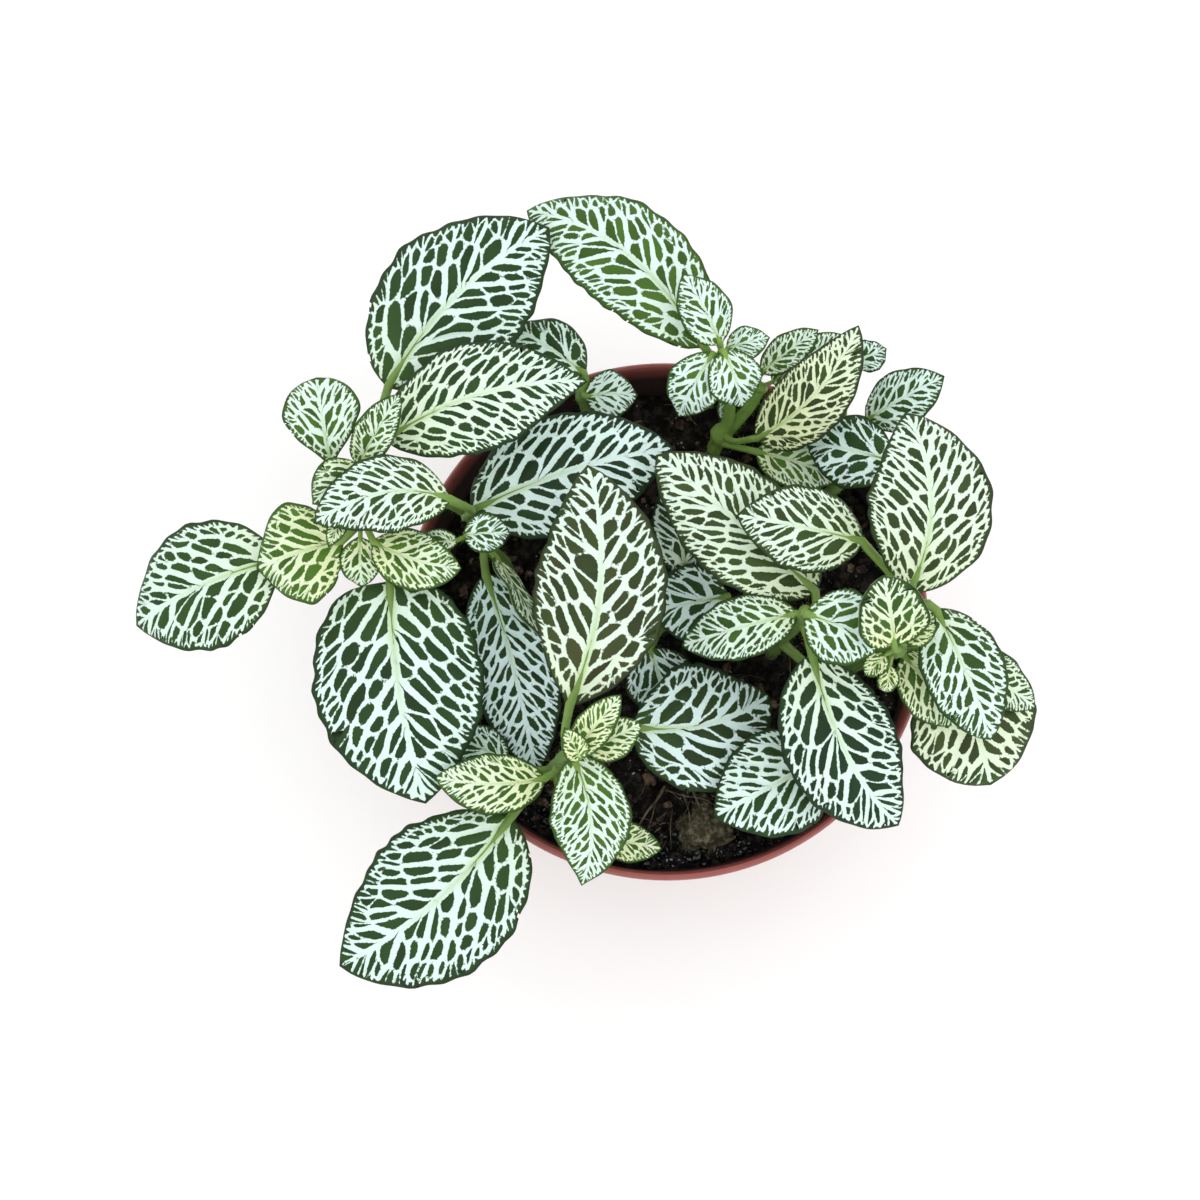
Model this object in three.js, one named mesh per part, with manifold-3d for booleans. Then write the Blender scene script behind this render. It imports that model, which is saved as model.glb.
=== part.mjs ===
import * as THREE from 'three';
import { mergeVertices } from 'three/addons/utils/BufferGeometryUtils.js';
import Module from 'manifold-3d';

// A nerve plant in its nursery pot, in millimetres: the pot stands on z = 0, with its axis on Z
const wasm = await Module();
wasm.setup();

// Pot
const rimRadius = 62.5;
const potHeight = 105;
const lipHeight = 10;
const lipWall = 1.9;
const wallRadius = 60.4;
const potWall = 1.3;
const baseRadius = 43;
const floorThickness = 2.2;
const potSides = 40;
const drainHoles = { count: 6, radius: 4, circle: 30, sides: 8 };

// Soil, which rises a little towards the front of the pot and has a lump of old root ball there
const soilLevel = 91;
const frontRise = 2.5;
const roughness = 0.7;
const soilRings = 6;
const soilSides = 20;
const lump = { at: [8.5, -47, 90], size: [9.5, 7, 5.5], roughness: 0.12 };

// Room between pieces that touch, and how a stem stands in the soil
const gap = 0.35;
const stemRadius = 1.6;
const stemSides = 6;
const stemSteps = 9;
const twigSteps = 5;
const rootDepth = 14;
const holeHead = 12;

// Leaf blades and their stalks
const bladeThickness = 0.75;
const stalkRadius = 0.95;
const thinStalkRadius = 0.55;
const stalkFlatness = 0.85;
const stalkBend = { from: 4, lead: 0.4, share: 0.6 };
const longStalk = 10;
const lastStalk = 0.97;
const endWidth = 0.9;
const veinSlant = 0.16;
const veinRelief = 0.22;
const narrowRelief = 0.6;
const rippleShift = 1.9;
const wideLeaf = 20;
const wideRows = 8;
const usualRows = 6;
const smallLeaf = 11;
const usualLeaf = {
  arch: 2.5, bow: 0, roll: 0, twist: 0, vee: 0.1, dome: 0.22, wave: 0.35, waves: 2.6, phase: 0,
  widest: 0.46, baseEnd: 0.58, tipEnd: 0.68,
};

// Leafy stems. A leaf runs from base to tip and is width wide. Its stalk leaves the stem at a share
// of the stem's length (at), or of its side branch (twig).
const leafyStems = [
  {
    name: 'stem_left',
    color: 0x5d7f52,
    line: [[-43, 20, 92], [-45, 22, 106], [-50, 24, 119], [-60, 24, 127], [-72, 22.5, 131]],
    leaves: [
      {
        at: 0.98, base: [-90, 10, 124], tip: [-124.5, -3, 110], width: 30, arch: 4, bow: -1, phase: 1,
        tipEnd: 0.65,
      },
      { at: 0.99, base: [-74.8, 13.1, 130], tip: [-93.8, 7.2, 128], width: 24, phase: 2, tipEnd: 0.7 },
      {
        at: 0.98, base: [-76.8, 29.3, 131], tip: [-80.2, 49.2, 137], width: 17.5, arch: 4, widest: 0.66,
        vee: 0.3, baseEnd: 0.9, tipEnd: 0.45,
      },
      { at: 0.96, base: [-70.5, 30, 134], tip: [-61, 44.5, 141], width: 9.5, vee: 0.5, arch: 1.5 },
      { at: 1, base: [-70, 28.5, 138], tip: [-80, 20, 139], width: 11, vee: 0.3, arch: 2 },
      { at: 0.42, base: [-50, 22, 134], tip: [-79, 14.5, 144], width: 18, arch: 4, bow: -3, phase: 3 },
      { at: 1, base: [-73, 16.5, 140], tip: [-76, 9.5, 142], width: 4.5, arch: 1, vee: 0.4, wave: 0.1 },
      {
        at: 0.92, base: [-67.1, 12.5, 132], tip: [-47.6, 6.8, 130], width: 14, arch: 2, phase: 4,
        bow: -1.5,
      },
      { at: 0.97, base: [-70.3, 13.6, 131], tip: [-70.3, 3.4, 126], width: 9.5, arch: 1.5, vee: 0.2 },
      {
        at: 0.8, base: [-63.8, 4, 126], tip: [-56, -45, 114], width: 39, arch: 5, bow: -1.5, phase: 5,
        baseEnd: 0.3, widest: 0.44,
      },
      { at: 0.9, base: [-65, 51, 125], tip: [-28, 90, 123], width: 35, arch: 4, bow: 3, phase: 6 },
      {
        at: 0.85, base: [-64.5, 36.5, 132], tip: [-19, 49.5, 134], width: 26, arch: 4, bow: 3, phase: 7,
        tipEnd: 0.9,
      },
      { at: 0.36, base: [-45.5, 22.5, 119], tip: [1, 37, 121], width: 29, arch: 3, bow: 1.5, phase: 8 },
    ],
  },
  {
    name: 'stem_mid_left',
    color: 0x6f8f66,
    line: [[-38, 13, 92], [-39, 14, 102], [-42, 15, 112], [-44.5, 16, 121], [-46, 15.5, 127]],
    leaves: [
      { at: 0.62, base: [-42.5, 8.5, 112], tip: [-31, -37, 102], width: 21, arch: 2, bow: 1, phase: 1.5 },
      { at: 0.66, base: [-40, 12, 115], tip: [-24.5, -13.5, 119], width: 15, roll: -70, arch: 2, vee: 0.2 },
      { at: 0.98, base: [-46.5, 14.5, 129.5], tip: [-36.5, 15, 129], width: 9.5, arch: 1.5, vee: 0.35 },
      { at: 0.95, base: [-48.5, 14, 126.5], tip: [-59, 12.5, 126.5], width: 6, arch: 1, vee: 0.4 },
    ],
  },
  {
    name: 'stem_back',
    color: 0x62836a,
    line: [[-14, 38, 92], [-15.5, 42, 100], [-19, 50, 107], [-20.5, 54.5, 110.5]],
    leaves: [
      { at: 0.97, base: [-19.5, 57.5, 113], tip: [-36.5, 68.5, 114], width: 15, arch: 2, phase: 2.5 },
      { at: 0.95, base: [-19, 52, 111.5], tip: [-7, 52.5, 111], width: 12, arch: 2 },
    ],
  },
  {
    name: 'stem_top',
    color: 0x789566,
    line: [[12, 42, 92], [12.5, 43.5, 99], [15, 47, 108], [14.5, 52, 119], [12, 57, 129]],
    twig: [[12.5, 43.5, 99], [17, 47, 106], [21, 51, 111], [23, 54.5, 114.5]],
    leaves: [
      { at: 0.9, base: [8.5, 60, 127], tip: [-33, 97.5, 114], width: 26, arch: 7, bow: -4.5, phase: 2 },
      { at: 0.98, base: [12, 59.5, 131], tip: [3.5, 74, 137], width: 12.5, arch: 3 },
      { at: 0.97, base: [10.4, 57, 131], tip: [2.8, 44.6, 122], width: 13, arch: 4, tipEnd: 0.85 },
      { at: 0.99, base: [12.8, 56.9, 133], tip: [17.2, 45.6, 127], width: 13, arch: 3.5 },
      { at: 0.95, base: [13.9, 59.4, 127], tip: [23.5, 62, 127], width: 8, arch: 1 },
      {
        at: 0.97, twig: true, base: [22.8, 56.4, 117.5], tip: [35.6, 65.8, 120], width: 8.5, vee: 0.4,
        arch: 1.5,
      },
      {
        at: 1, twig: true, base: [25.2, 54.4, 116], tip: [41.6, 64.8, 119.5], width: 10, vee: 0.2,
        arch: 2,
      },
      {
        at: 0.3, base: [21.5, 41, 115], tip: [43.9, 63.1, 132], width: 17, arch: 3, phase: 4,
        widest: 0.42, bow: -3.5,
      },
      { at: 0.2, base: [21.8, 39.1, 109], tip: [41.3, 33.2, 107], width: 13, arch: 2 },
      { at: 0.42, base: [14.5, 53, 109], tip: [15.1, 47, 103.5], width: 4.5, arch: 0.5, wave: 0.1 },
    ],
  },
  {
    name: 'stem_upper_right',
    color: 0x54735a,
    line: [[36, 27, 92], [38, 29, 100], [43, 33.5, 106], [48, 38, 110], [51.5, 41, 112]],
    leaves: [
      { at: 0.6, base: [44.5, 58, 118.5], tip: [51.8, 61.9, 118], width: 8, arch: 1.5, via: [43, 49, 110] },
      { at: 1, base: [47.9, 46, 112.5], tip: [64.6, 53.7, 123], width: 14, arch: 2, phase: 1 },
      { at: 0.85, base: [53.3, 34.8, 116.5], tip: [33.7, 40, 113], width: 18, arch: 2.5, phase: 2 },
    ],
  },
  {
    name: 'stem_front',
    color: 0x6d8b58,
    line: [[-27, -36, 92], [-26.5, -36.5, 104], [-25, -36, 117], [-22.5, -35, 128], [-21.5, -34.5, 134]],
    leaves: [
      {
        at: 0.82, base: [-22.5, -24.5, 130], tip: [-18.5, 29.5, 134], width: 30, arch: 7, bow: -5, phase: 1,
        baseEnd: 0.8,
      },
      { at: 0.3, base: [-37.5, -35, 108], tip: [-50.5, -28.5, 108], width: 11, arch: 1 },
      { at: 0.55, base: [-28.5, -40, 118], tip: [-53, -40, 120], width: 14, arch: 2, bow: 1.5, phase: 3 },
      { at: 0.28, base: [-36.5, -48.5, 111], tip: [-76, -82, 102], width: 36, arch: 3, bow: 3.5, phase: 4 },
      {
        at: 0.75, base: [-21.8, -35.8, 125], tip: [-19.8, -63.9, 116], width: 18.5, arch: 3, bow: 3,
        tipEnd: 0.9,
      },
      { at: 0.25, base: [-15.5, -52.5, 103], tip: [-1.5, -55, 103], width: 9.5, arch: 1.5 },
      { at: 1, base: [-21.7, -36.5, 135], tip: [-11.3, -23.7, 139], width: 8.5, vee: 0.4, arch: 1.5 },
      { at: 0.95, base: [-18.4, -35.4, 132], tip: [-6.8, -29.4, 134], width: 10, vee: 0.2, arch: 1.5 },
      {
        at: 1, base: [-20.1, -37.2, 136], tip: [-23.4, -31.2, 140], width: 6, vee: 0.6, arch: 1.2,
        wave: 0.1,
      },
      { at: 0.5, base: [-8, -27.5, 112], tip: [24, -19, 104], width: 31, arch: 2.5, bow: -3.5, phase: 2 },
    ],
  },
  {
    name: 'stem_centre',
    color: 0x4d6b55,
    line: [[8, -2, 92], [7.5, -1, 96], [6.5, 2, 99.5], [6, 5, 101.5]],
    leaves: [
      { at: 0.2, base: [-3.8, -7.7, 102], tip: [1.5, -23.2, 99], width: 17, arch: 1.5 },
      { at: 0.9, base: [7, 9, 102.5], tip: [12.1, 18.5, 103], width: 11, arch: 1.5 },
      { at: 0.6, base: [14.8, 4.6, 105], tip: [-3.8, 1, 106], width: 19, arch: 1 },
      { at: 1, base: [5, 10, 102.5], tip: [1, 32.5, 108.5], width: 13, arch: 2 },
    ],
  },
  {
    name: 'stem_right_centre',
    color: 0x66866a,
    line: [[26, -7, 92], [27, -6, 105], [29.5, -5, 119], [30.5, -4, 130], [30.5, -3.5, 135]],
    leaves: [
      { at: 0.83, base: [33.5, 2, 127], tip: [-2.5, 33, 130], width: 26, arch: 2.5, phase: 1 },
      { at: 0.9, base: [29, -3.5, 129], tip: [3.5, -9.5, 120], width: 14.5, arch: 3, phase: 2 },
      { at: 1, base: [30.5, -5, 137], tip: [47, -12, 137], width: 18, arch: 2.5, phase: 3 },
      { at: 0.8, base: [32.5, -13, 128], tip: [53, -50, 112], width: 26.5, arch: 5, bow: -4, phase: 4 },
      { at: 0.3, base: [38, -34, 111], tip: [11, -48, 112], width: 25, arch: 2.5, phase: 5, tipEnd: 0.7 },
    ],
  },
  {
    name: 'stem_right',
    color: 0x6f9058,
    line: [[42, -12, 92], [45, -12, 106], [48.5, -12, 120], [51, -12, 131], [51.5, -12, 136]],
    leaves: [
      { at: 0.9, base: [43.5, 12, 135], tip: [15.5, 17.5, 137], width: 20, arch: 2, phase: 1 },
      { at: 0.93, base: [53.5, 0, 139], tip: [53, 39.5, 143], width: 28, arch: 5, bow: -4.5, phase: 2 },
      {
        at: 1, base: [49.6, -12.5, 140], tip: [46.5, 1.2, 149], width: 16, arch: 1.5, vee: -0.1,
        dome: -0.4, tipEnd: 0.5,
      },
      { at: 1, base: [52.3, -11, 137.5], tip: [58.6, -5.9, 139.5], width: 8, vee: 0.5, arch: 1 },
      { at: 0.97, base: [48.4, -13.9, 135], tip: [44, -18, 133], width: 5.5, vee: 0.4, arch: 1 },
      { at: 0.93, base: [49.5, -15.7, 132], tip: [49.1, -21.1, 127], width: 5, vee: 0.3, arch: 1 },
      {
        at: 0.85, base: [60.1, -3.4, 133], tip: [72.8, -31.5, 125], width: 19, arch: 3.5, phase: 5,
        via: [56.5, -1.5, 134], tipEnd: 0.6,
      },
      { at: 0.75, base: [65.8, -11.7, 124], tip: [84.5, -23.4, 117], width: 12.5, arch: 2 },
      {
        at: 0.6, base: [66.3, -15.3, 118], tip: [74.9, -40.4, 111], width: 30, arch: 3, phase: 6,
        tipEnd: 0.5,
      },
      { at: 0.8, base: [53.4, -12.6, 126], tip: [66.7, -27.4, 118], width: 15, arch: 2 },
    ],
  },
];

const leafMaterial = (color) => new THREE.MeshStandardMaterial({ color, roughness: 0.45, metalness: 0 });
const potMaterial = new THREE.MeshStandardMaterial({ color: 0x9d5248, roughness: 0.5, metalness: 0 });
const soilMaterial = new THREE.MeshStandardMaterial({ color: 0x1d1916, roughness: 0.95, metalness: 0 });

const vec = (p) => new THREE.Vector3(p[0], p[1], p[2]);

// A closed mesh as a solid that can be joined and cut
function solid(geometry) {
  const bare = geometry.index ? geometry.clone() : geometry;
  bare.deleteAttribute('normal');
  bare.deleteAttribute('uv');
  const welded = mergeVertices(bare, 1e-4);
  return new wasm.Manifold(new wasm.Mesh({
    numProp: 3,
    vertProperties: new Float32Array(welded.attributes.position.array),
    triVerts: new Uint32Array(welded.index.array),
  }));
}

function geometryOf(body) {
  const mesh = body.getMesh();
  const geometry = new THREE.BufferGeometry();
  geometry.setAttribute('position', new THREE.BufferAttribute(mesh.vertProperties, 3));
  geometry.setIndex(new THREE.BufferAttribute(mesh.triVerts, 1));
  return geometry;
}

function piece(name, body, material) {
  const mesh = new THREE.Mesh(geometryOf(body), material);
  mesh.name = name;
  return mesh;
}

function joined(bodies) {
  return bodies.reduce((whole, body) => whole.add(body));
}

// A round bar along a curve
function bar(points, radius, sides, steps) {
  const section = new THREE.Shape();
  for (let i = 0; i < sides; i += 1) {
    const turn = (2 * Math.PI * i) / sides;
    const x = radius * Math.cos(turn);
    const y = radius * Math.sin(turn);
    if (i === 0) section.moveTo(x, y);
    else section.lineTo(x, y);
  }
  const extrudePath = new THREE.CatmullRomCurve3(points, false, 'centripetal');
  return solid(new THREE.ExtrudeGeometry(section, { steps, extrudePath, bevelEnabled: false }));
}

function upright(radius, sides, x, y, low, high) {
  const cylinder = new THREE.CylinderGeometry(radius, radius, high - low, sides);
  cylinder.rotateX(Math.PI / 2);
  cylinder.translate(x, y, (low + high) / 2);
  return solid(cylinder);
}

// Pot: a turned shell with a lip, a narrow step under it and drainage holes
const innerRadius = (z) => {
  const low = baseRadius - potWall;
  const high = wallRadius - potWall;
  return low + ((high - low) * (z - floorThickness)) / (potHeight - lipHeight - floorThickness);
};

function makePot() {
  const lipFoot = potHeight - lipHeight;
  const lipInside = rimRadius - lipWall;
  const profile = [
    [0, 0],
    [baseRadius - 1.2, 0],
    [baseRadius, 1.2],
    [wallRadius, lipFoot - 1],
    [rimRadius - 1.2, lipFoot],
    [rimRadius - 0.4, lipFoot + 1],
    [rimRadius, potHeight - 0.9],
    [rimRadius - 0.6, potHeight],
    [lipInside + 0.4, potHeight],
    [lipInside, potHeight - 0.6],
    [lipInside - 0.9, lipFoot + 0.8],
    [innerRadius(lipFoot - 1), lipFoot - 1],
    [innerRadius(floorThickness), floorThickness],
    [0, floorThickness],
  ];
  const shell = new THREE.LatheGeometry(profile.map(([r, z]) => new THREE.Vector2(r, z)), potSides);
  shell.rotateX(Math.PI / 2);
  let body = solid(shell);
  for (let i = 0; i < drainHoles.count; i += 1) {
    const turn = (2 * Math.PI * (i + 0.5)) / drainHoles.count;
    const x = drainHoles.circle * Math.cos(turn);
    const y = drainHoles.circle * Math.sin(turn);
    body = body.subtract(upright(drainHoles.radius, drainHoles.sides, x, y, -1, floorThickness + 1));
  }
  return body;
}

// Soil: a plug that follows the pot's inside, with an uneven top and a hole for each stem
const soilTop = (x, y) => {
  const rise = frontRise * Math.max(0, -y / wallRadius) ** 2;
  const uneven = Math.sin(0.31 * x + 1) * Math.cos(0.27 * y) + 0.6 * Math.sin(0.73 * x - 0.61 * y);
  return soilLevel + rise + roughness * uneven;
};

function makeSoil() {
  const positions = [0, 0, soilTop(0, 0)];
  const index = [];
  const edge = innerRadius(soilLevel) - gap;
  for (let ring = 1; ring <= soilRings + 1; ring += 1) {
    for (let side = 0; side < soilSides; side += 1) {
      const turn = (2 * Math.PI * side) / soilSides;
      const atFloor = ring > soilRings;
      const radius = atFloor ? innerRadius(floorThickness + gap) - gap : (edge * ring) / soilRings;
      const x = radius * Math.cos(turn);
      const y = radius * Math.sin(turn);
      positions.push(x, y, atFloor ? floorThickness + gap : soilTop(x, y));
    }
  }
  const at = (ring, side) => 1 + (ring - 1) * soilSides + (side % soilSides);
  const under = positions.length / 3;
  positions.push(0, 0, floorThickness + gap);
  for (let side = 0; side < soilSides; side += 1) {
    index.push(0, at(1, side), at(1, side + 1));
    for (let ring = 1; ring <= soilRings; ring += 1) {
      index.push(at(ring, side), at(ring + 1, side), at(ring + 1, side + 1));
      index.push(at(ring, side), at(ring + 1, side + 1), at(ring, side + 1));
    }
    index.push(under, at(soilRings + 1, side + 1), at(soilRings + 1, side));
  }
  const plug = new THREE.BufferGeometry();
  plug.setAttribute('position', new THREE.BufferAttribute(new Float32Array(positions), 3));
  plug.setIndex(index);
  let body = solid(plug);

  const ball = mergeVertices(bareCopy(new THREE.IcosahedronGeometry(1, 1)), 1e-4);
  const place = ball.attributes.position;
  for (let i = 0; i < place.count; i += 1) {
    const p = new THREE.Vector3().fromBufferAttribute(place, i);
    const swell = 1 + lump.roughness * (Math.sin(5 * p.x + 2) + Math.sin(6 * p.y + 3 * p.z));
    p.multiplyScalar(swell).multiply(vec(lump.size)).add(vec(lump.at));
    place.setXYZ(i, p.x, p.y, p.z);
  }
  body = body.add(solid(ball));
  for (const stem of leafyStems) {
    const [x, y, z] = stem.line[0];
    body = body.subtract(upright(stemRadius + gap, stemSides + 3, x, y, z - rootDepth - gap, z + holeHead));
  }
  return body;
}

function bareCopy(geometry) {
  geometry.deleteAttribute('normal');
  geometry.deleteAttribute('uv');
  return geometry;
}

// The run of a leaf: its midrib, the way across and the way up from it, at a share s of its length
function runOf(leaf) {
  const base = vec(leaf.base);
  const chord = vec(leaf.tip).sub(base);
  const ahead = chord.clone().normalize();
  const left = new THREE.Vector3(0, 0, 1).cross(ahead).normalize();
  const up = ahead.clone().cross(left);
  const midrib = (s) => {
    const swell = 4 * s * (1 - s);
    return base.clone()
      .addScaledVector(chord, s)
      .addScaledVector(left, leaf.bow * swell)
      .addScaledVector(up, leaf.arch * swell);
  };
  return (s) => {
    const point = midrib(s);
    const along = midrib(s + 0.01).sub(midrib(s - 0.01)).normalize();
    const turn = THREE.MathUtils.degToRad(leaf.roll + leaf.twist * (s - 0.5));
    const across = left.clone().multiplyScalar(Math.cos(turn)).addScaledVector(up, Math.sin(turn));
    across.addScaledVector(along, -across.dot(along)).normalize();
    return { point, along, across, out: along.clone().cross(across) };
  };
}

// Half of the leaf's width as a share of its greatest, at a share s of its length
function outline(leaf, s) {
  const swell = Math.sin(Math.PI * s ** (Math.log(0.5) / Math.log(leaf.widest)));
  return Math.max(0, swell) ** (leaf.baseEnd + (leaf.tipEnd - leaf.baseEnd) * s);
}

// A point of the blade's middle surface: s runs along it, t from -1 to 1 across it
function bladePoint(leaf, run, s, t, relief) {
  const side = Math.abs(t);
  const reach = s + veinSlant * side * Math.sin(Math.PI * s);
  const { point, across, out } = run(reach);
  const half = Math.max((leaf.width / 2) * outline(leaf, reach), endWidth / 2);
  const ends = Math.sqrt(Math.max(0, Math.sin(Math.PI * reach)));
  const ripple = Math.sin(2 * Math.PI * leaf.waves * reach + leaf.phase + (t > 0 ? 0 : rippleShift));
  const lift = leaf.vee * side * half - leaf.dome * t * t * half
    + leaf.wave * ripple * side ** 1.5 * ends + relief * ends * (side > 0 ? 1 : 0);
  return point.addScaledVector(across, t * half).addScaledVector(out, lift);
}

// The blade as a grid of its middle surface, row by row from base to tip, with the normals there
function bladeGrid(leaf, run, rows, columns) {
  const relief = leaf.width > wideLeaf ? veinRelief : narrowRelief * veinRelief;
  const at = (i, j) => bladePoint(leaf, run, i / rows, (2 * j) / columns - 1, i % 2 ? relief : -relief);
  const grid = [];
  for (let i = 0; i <= rows; i += 1) {
    grid.push([]);
    for (let j = 0; j <= columns; j += 1) grid[i].push(at(i, j));
  }
  const normals = [];
  for (let i = 1; i < rows; i += 1) {
    normals.push([]);
    for (let j = 0; j <= columns; j += 1) {
      const ahead = grid[i + 1][j].clone().sub(grid[i - 1][j]);
      const left = grid[i][Math.min(j + 1, columns)].clone().sub(grid[i][Math.max(j - 1, 0)]);
      normals[i - 1].push(ahead.cross(left).normalize());
    }
  }
  return { grid, normals };
}

// The centre line of a leaf's stalk, from the stem to the blade
function stalkLine(leaf, run, start) {
  const base = vec(leaf.base);
  const far = start.distanceTo(base);
  const points = [start];
  if (leaf.via) points.push(vec(leaf.via));
  else if (far > stalkBend.from) {
    const ahead = base.clone().addScaledVector(run(0).along, -stalkBend.lead * far);
    points.push(start.clone().lerp(ahead, stalkBend.share));
  }
  points.push(base);
  return new THREE.CatmullRomCurve3(points, false, 'centripetal');
}

// A section of the leaf: its upper points from right to left, and those under them
function section(points, normals, half) {
  return {
    top: points.map((p, i) => p.clone().addScaledVector(normals[i], half)),
    under: points.map((p, i) => p.clone().addScaledVector(normals[i], -half)),
  };
}

// A leaf in one skin: a four-sided stalk, and a thin waved blade whose rows follow the side veins,
// every other row sunken
function makeLeaf(leaf, start) {
  const columns = leaf.width < smallLeaf ? 2 : 4;
  const rows = leaf.width > wideLeaf ? wideRows : usualRows;
  const run = runOf(leaf);
  const stalk = stalkLine(leaf, run, start);
  const steps = stalk.getLength() > longStalk ? 5 : 3;
  const radius = leaf.width < smallLeaf ? thinStalkRadius : stalkRadius;
  const sections = [];
  let across = run(0).across;
  for (let k = steps; k >= 0; k -= 1) {
    const along = k === steps ? run(0).along : stalk.getTangentAt(k / steps);
    across = across.clone().addScaledVector(along, -across.dot(along)).normalize();
    const out = along.clone().cross(across);
    const centre = stalk.getPointAt(k / steps);
    const ends = [-radius, radius].map((reach) => centre.clone().addScaledVector(across, reach));
    sections.unshift(section(ends, [out, out], stalkFlatness * radius));
  }
  const { grid, normals } = bladeGrid(leaf, run, rows, columns);
  for (let i = 1; i < rows; i += 1) sections.push(section(grid[i], normals[i - 1], bladeThickness / 2));
  const { point, across: side, out } = run(1);
  const tip = [-endWidth / 2, endWidth / 2].map((reach) => point.clone().addScaledVector(side, reach));
  sections.push(section(tip, [out, out], bladeThickness / 2));
  return lofted(sections);
}

// A closed skin over sections of two or more columns, in triangles alike on both faces
function lofted(sections) {
  const positions = [];
  const tops = [];
  const unders = [];
  for (const { top, under } of sections) {
    for (const [points, list] of [[top, tops], [under, unders]]) {
      list.push(points.map((p) => positions.push(p.x, p.y, p.z) / 3 - 1));
    }
  }
  const index = [];
  for (let i = 0; i + 1 < sections.length; i += 1) {
    for (const [list, turned] of [[tops, false], [unders, true]]) {
      const near = list[i];
      const far = list[i + 1];
      const face = (a, b, c) => (turned ? index.push(a, c, b) : index.push(a, b, c));
      const last = Math.max(near.length, far.length) - 1;
      const pick = (row, j) => (row.length > last ? row[j] : row[j > last / 2 ? 1 : 0]);
      for (let j = 0; j < last; j += 1) {
        const [a, b, c, d] = [pick(near, j), pick(far, j), pick(far, j + 1), pick(near, j + 1)];
        if (a === d) face(a, b, c);
        else if (b === c) face(a, b, d);
        else if (j < last / 2) {
          face(a, b, d);
          face(b, c, d);
        } else {
          face(a, b, c);
          face(a, c, d);
        }
      }
    }
    const [n, f] = [tops[i].length - 1, tops[i + 1].length - 1];
    wall(index, tops[i][0], tops[i + 1][0], unders[i][0], unders[i + 1][0]);
    wall(index, tops[i + 1][f], tops[i][n], unders[i + 1][f], unders[i][n]);
  }
  const end = sections.length - 1;
  wall(index, tops[end][0], tops[end][1], unders[end][0], unders[end][1]);
  wall(index, tops[0][1], tops[0][0], unders[0][1], unders[0][0]);
  const geometry = new THREE.BufferGeometry();
  geometry.setAttribute('position', new THREE.BufferAttribute(new Float32Array(positions), 3));
  geometry.setIndex(index);
  return solid(geometry);
}

function wall(index, a, b, underA, underB) {
  index.push(b, a, underA, b, underA, underB);
}

function makeStem(stem) {
  const lines = [stem.line, stem.twig].filter(Boolean).map((line) => line.map(vec));
  const foot = lines[0][0];
  const deep = [rootDepth, rootDepth / 2].map((depth) => foot.clone().setZ(foot.z - depth));
  const bodies = [bar([...deep, ...lines[0]], stemRadius, stemSides, stemSteps)];
  if (stem.twig) bodies.push(bar(lines[1], stemRadius, stemSides, twigSteps));
  for (const own of stem.leaves) {
    const leaf = { ...usualLeaf, ...own };
    const line = new THREE.CatmullRomCurve3(lines[leaf.twig ? 1 : 0], false, 'centripetal');
    bodies.push(makeLeaf(leaf, line.getPointAt(Math.min(leaf.at, lastStalk))));
  }
  return joined(bodies);
}

const plant = new THREE.Group();
plant.add(piece('pot', makePot(), potMaterial));
plant.add(piece('soil', makeSoil(), soilMaterial));
for (const stem of leafyStems) plant.add(piece(stem.name, makeStem(stem), leafMaterial(stem.color)));

export default plant;
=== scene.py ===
import math
import random

import bpy
import numpy as np
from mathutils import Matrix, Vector, noise


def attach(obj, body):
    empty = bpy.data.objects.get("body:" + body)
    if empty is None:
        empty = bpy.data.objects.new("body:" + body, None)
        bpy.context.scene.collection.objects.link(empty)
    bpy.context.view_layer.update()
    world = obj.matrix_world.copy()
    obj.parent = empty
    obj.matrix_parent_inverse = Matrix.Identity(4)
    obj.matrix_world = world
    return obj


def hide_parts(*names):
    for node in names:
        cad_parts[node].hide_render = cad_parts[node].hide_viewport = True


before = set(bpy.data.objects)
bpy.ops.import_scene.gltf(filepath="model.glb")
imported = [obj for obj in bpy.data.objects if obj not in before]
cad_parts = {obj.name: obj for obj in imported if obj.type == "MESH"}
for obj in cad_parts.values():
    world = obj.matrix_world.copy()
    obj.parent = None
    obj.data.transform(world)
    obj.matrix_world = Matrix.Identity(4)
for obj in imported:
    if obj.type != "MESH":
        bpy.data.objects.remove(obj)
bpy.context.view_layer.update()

mm = 0.001


def clamped(value):
    return min(max(value, 0.0), 1.0)


# Shader maths: a socket that sums and products can be written with

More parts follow.
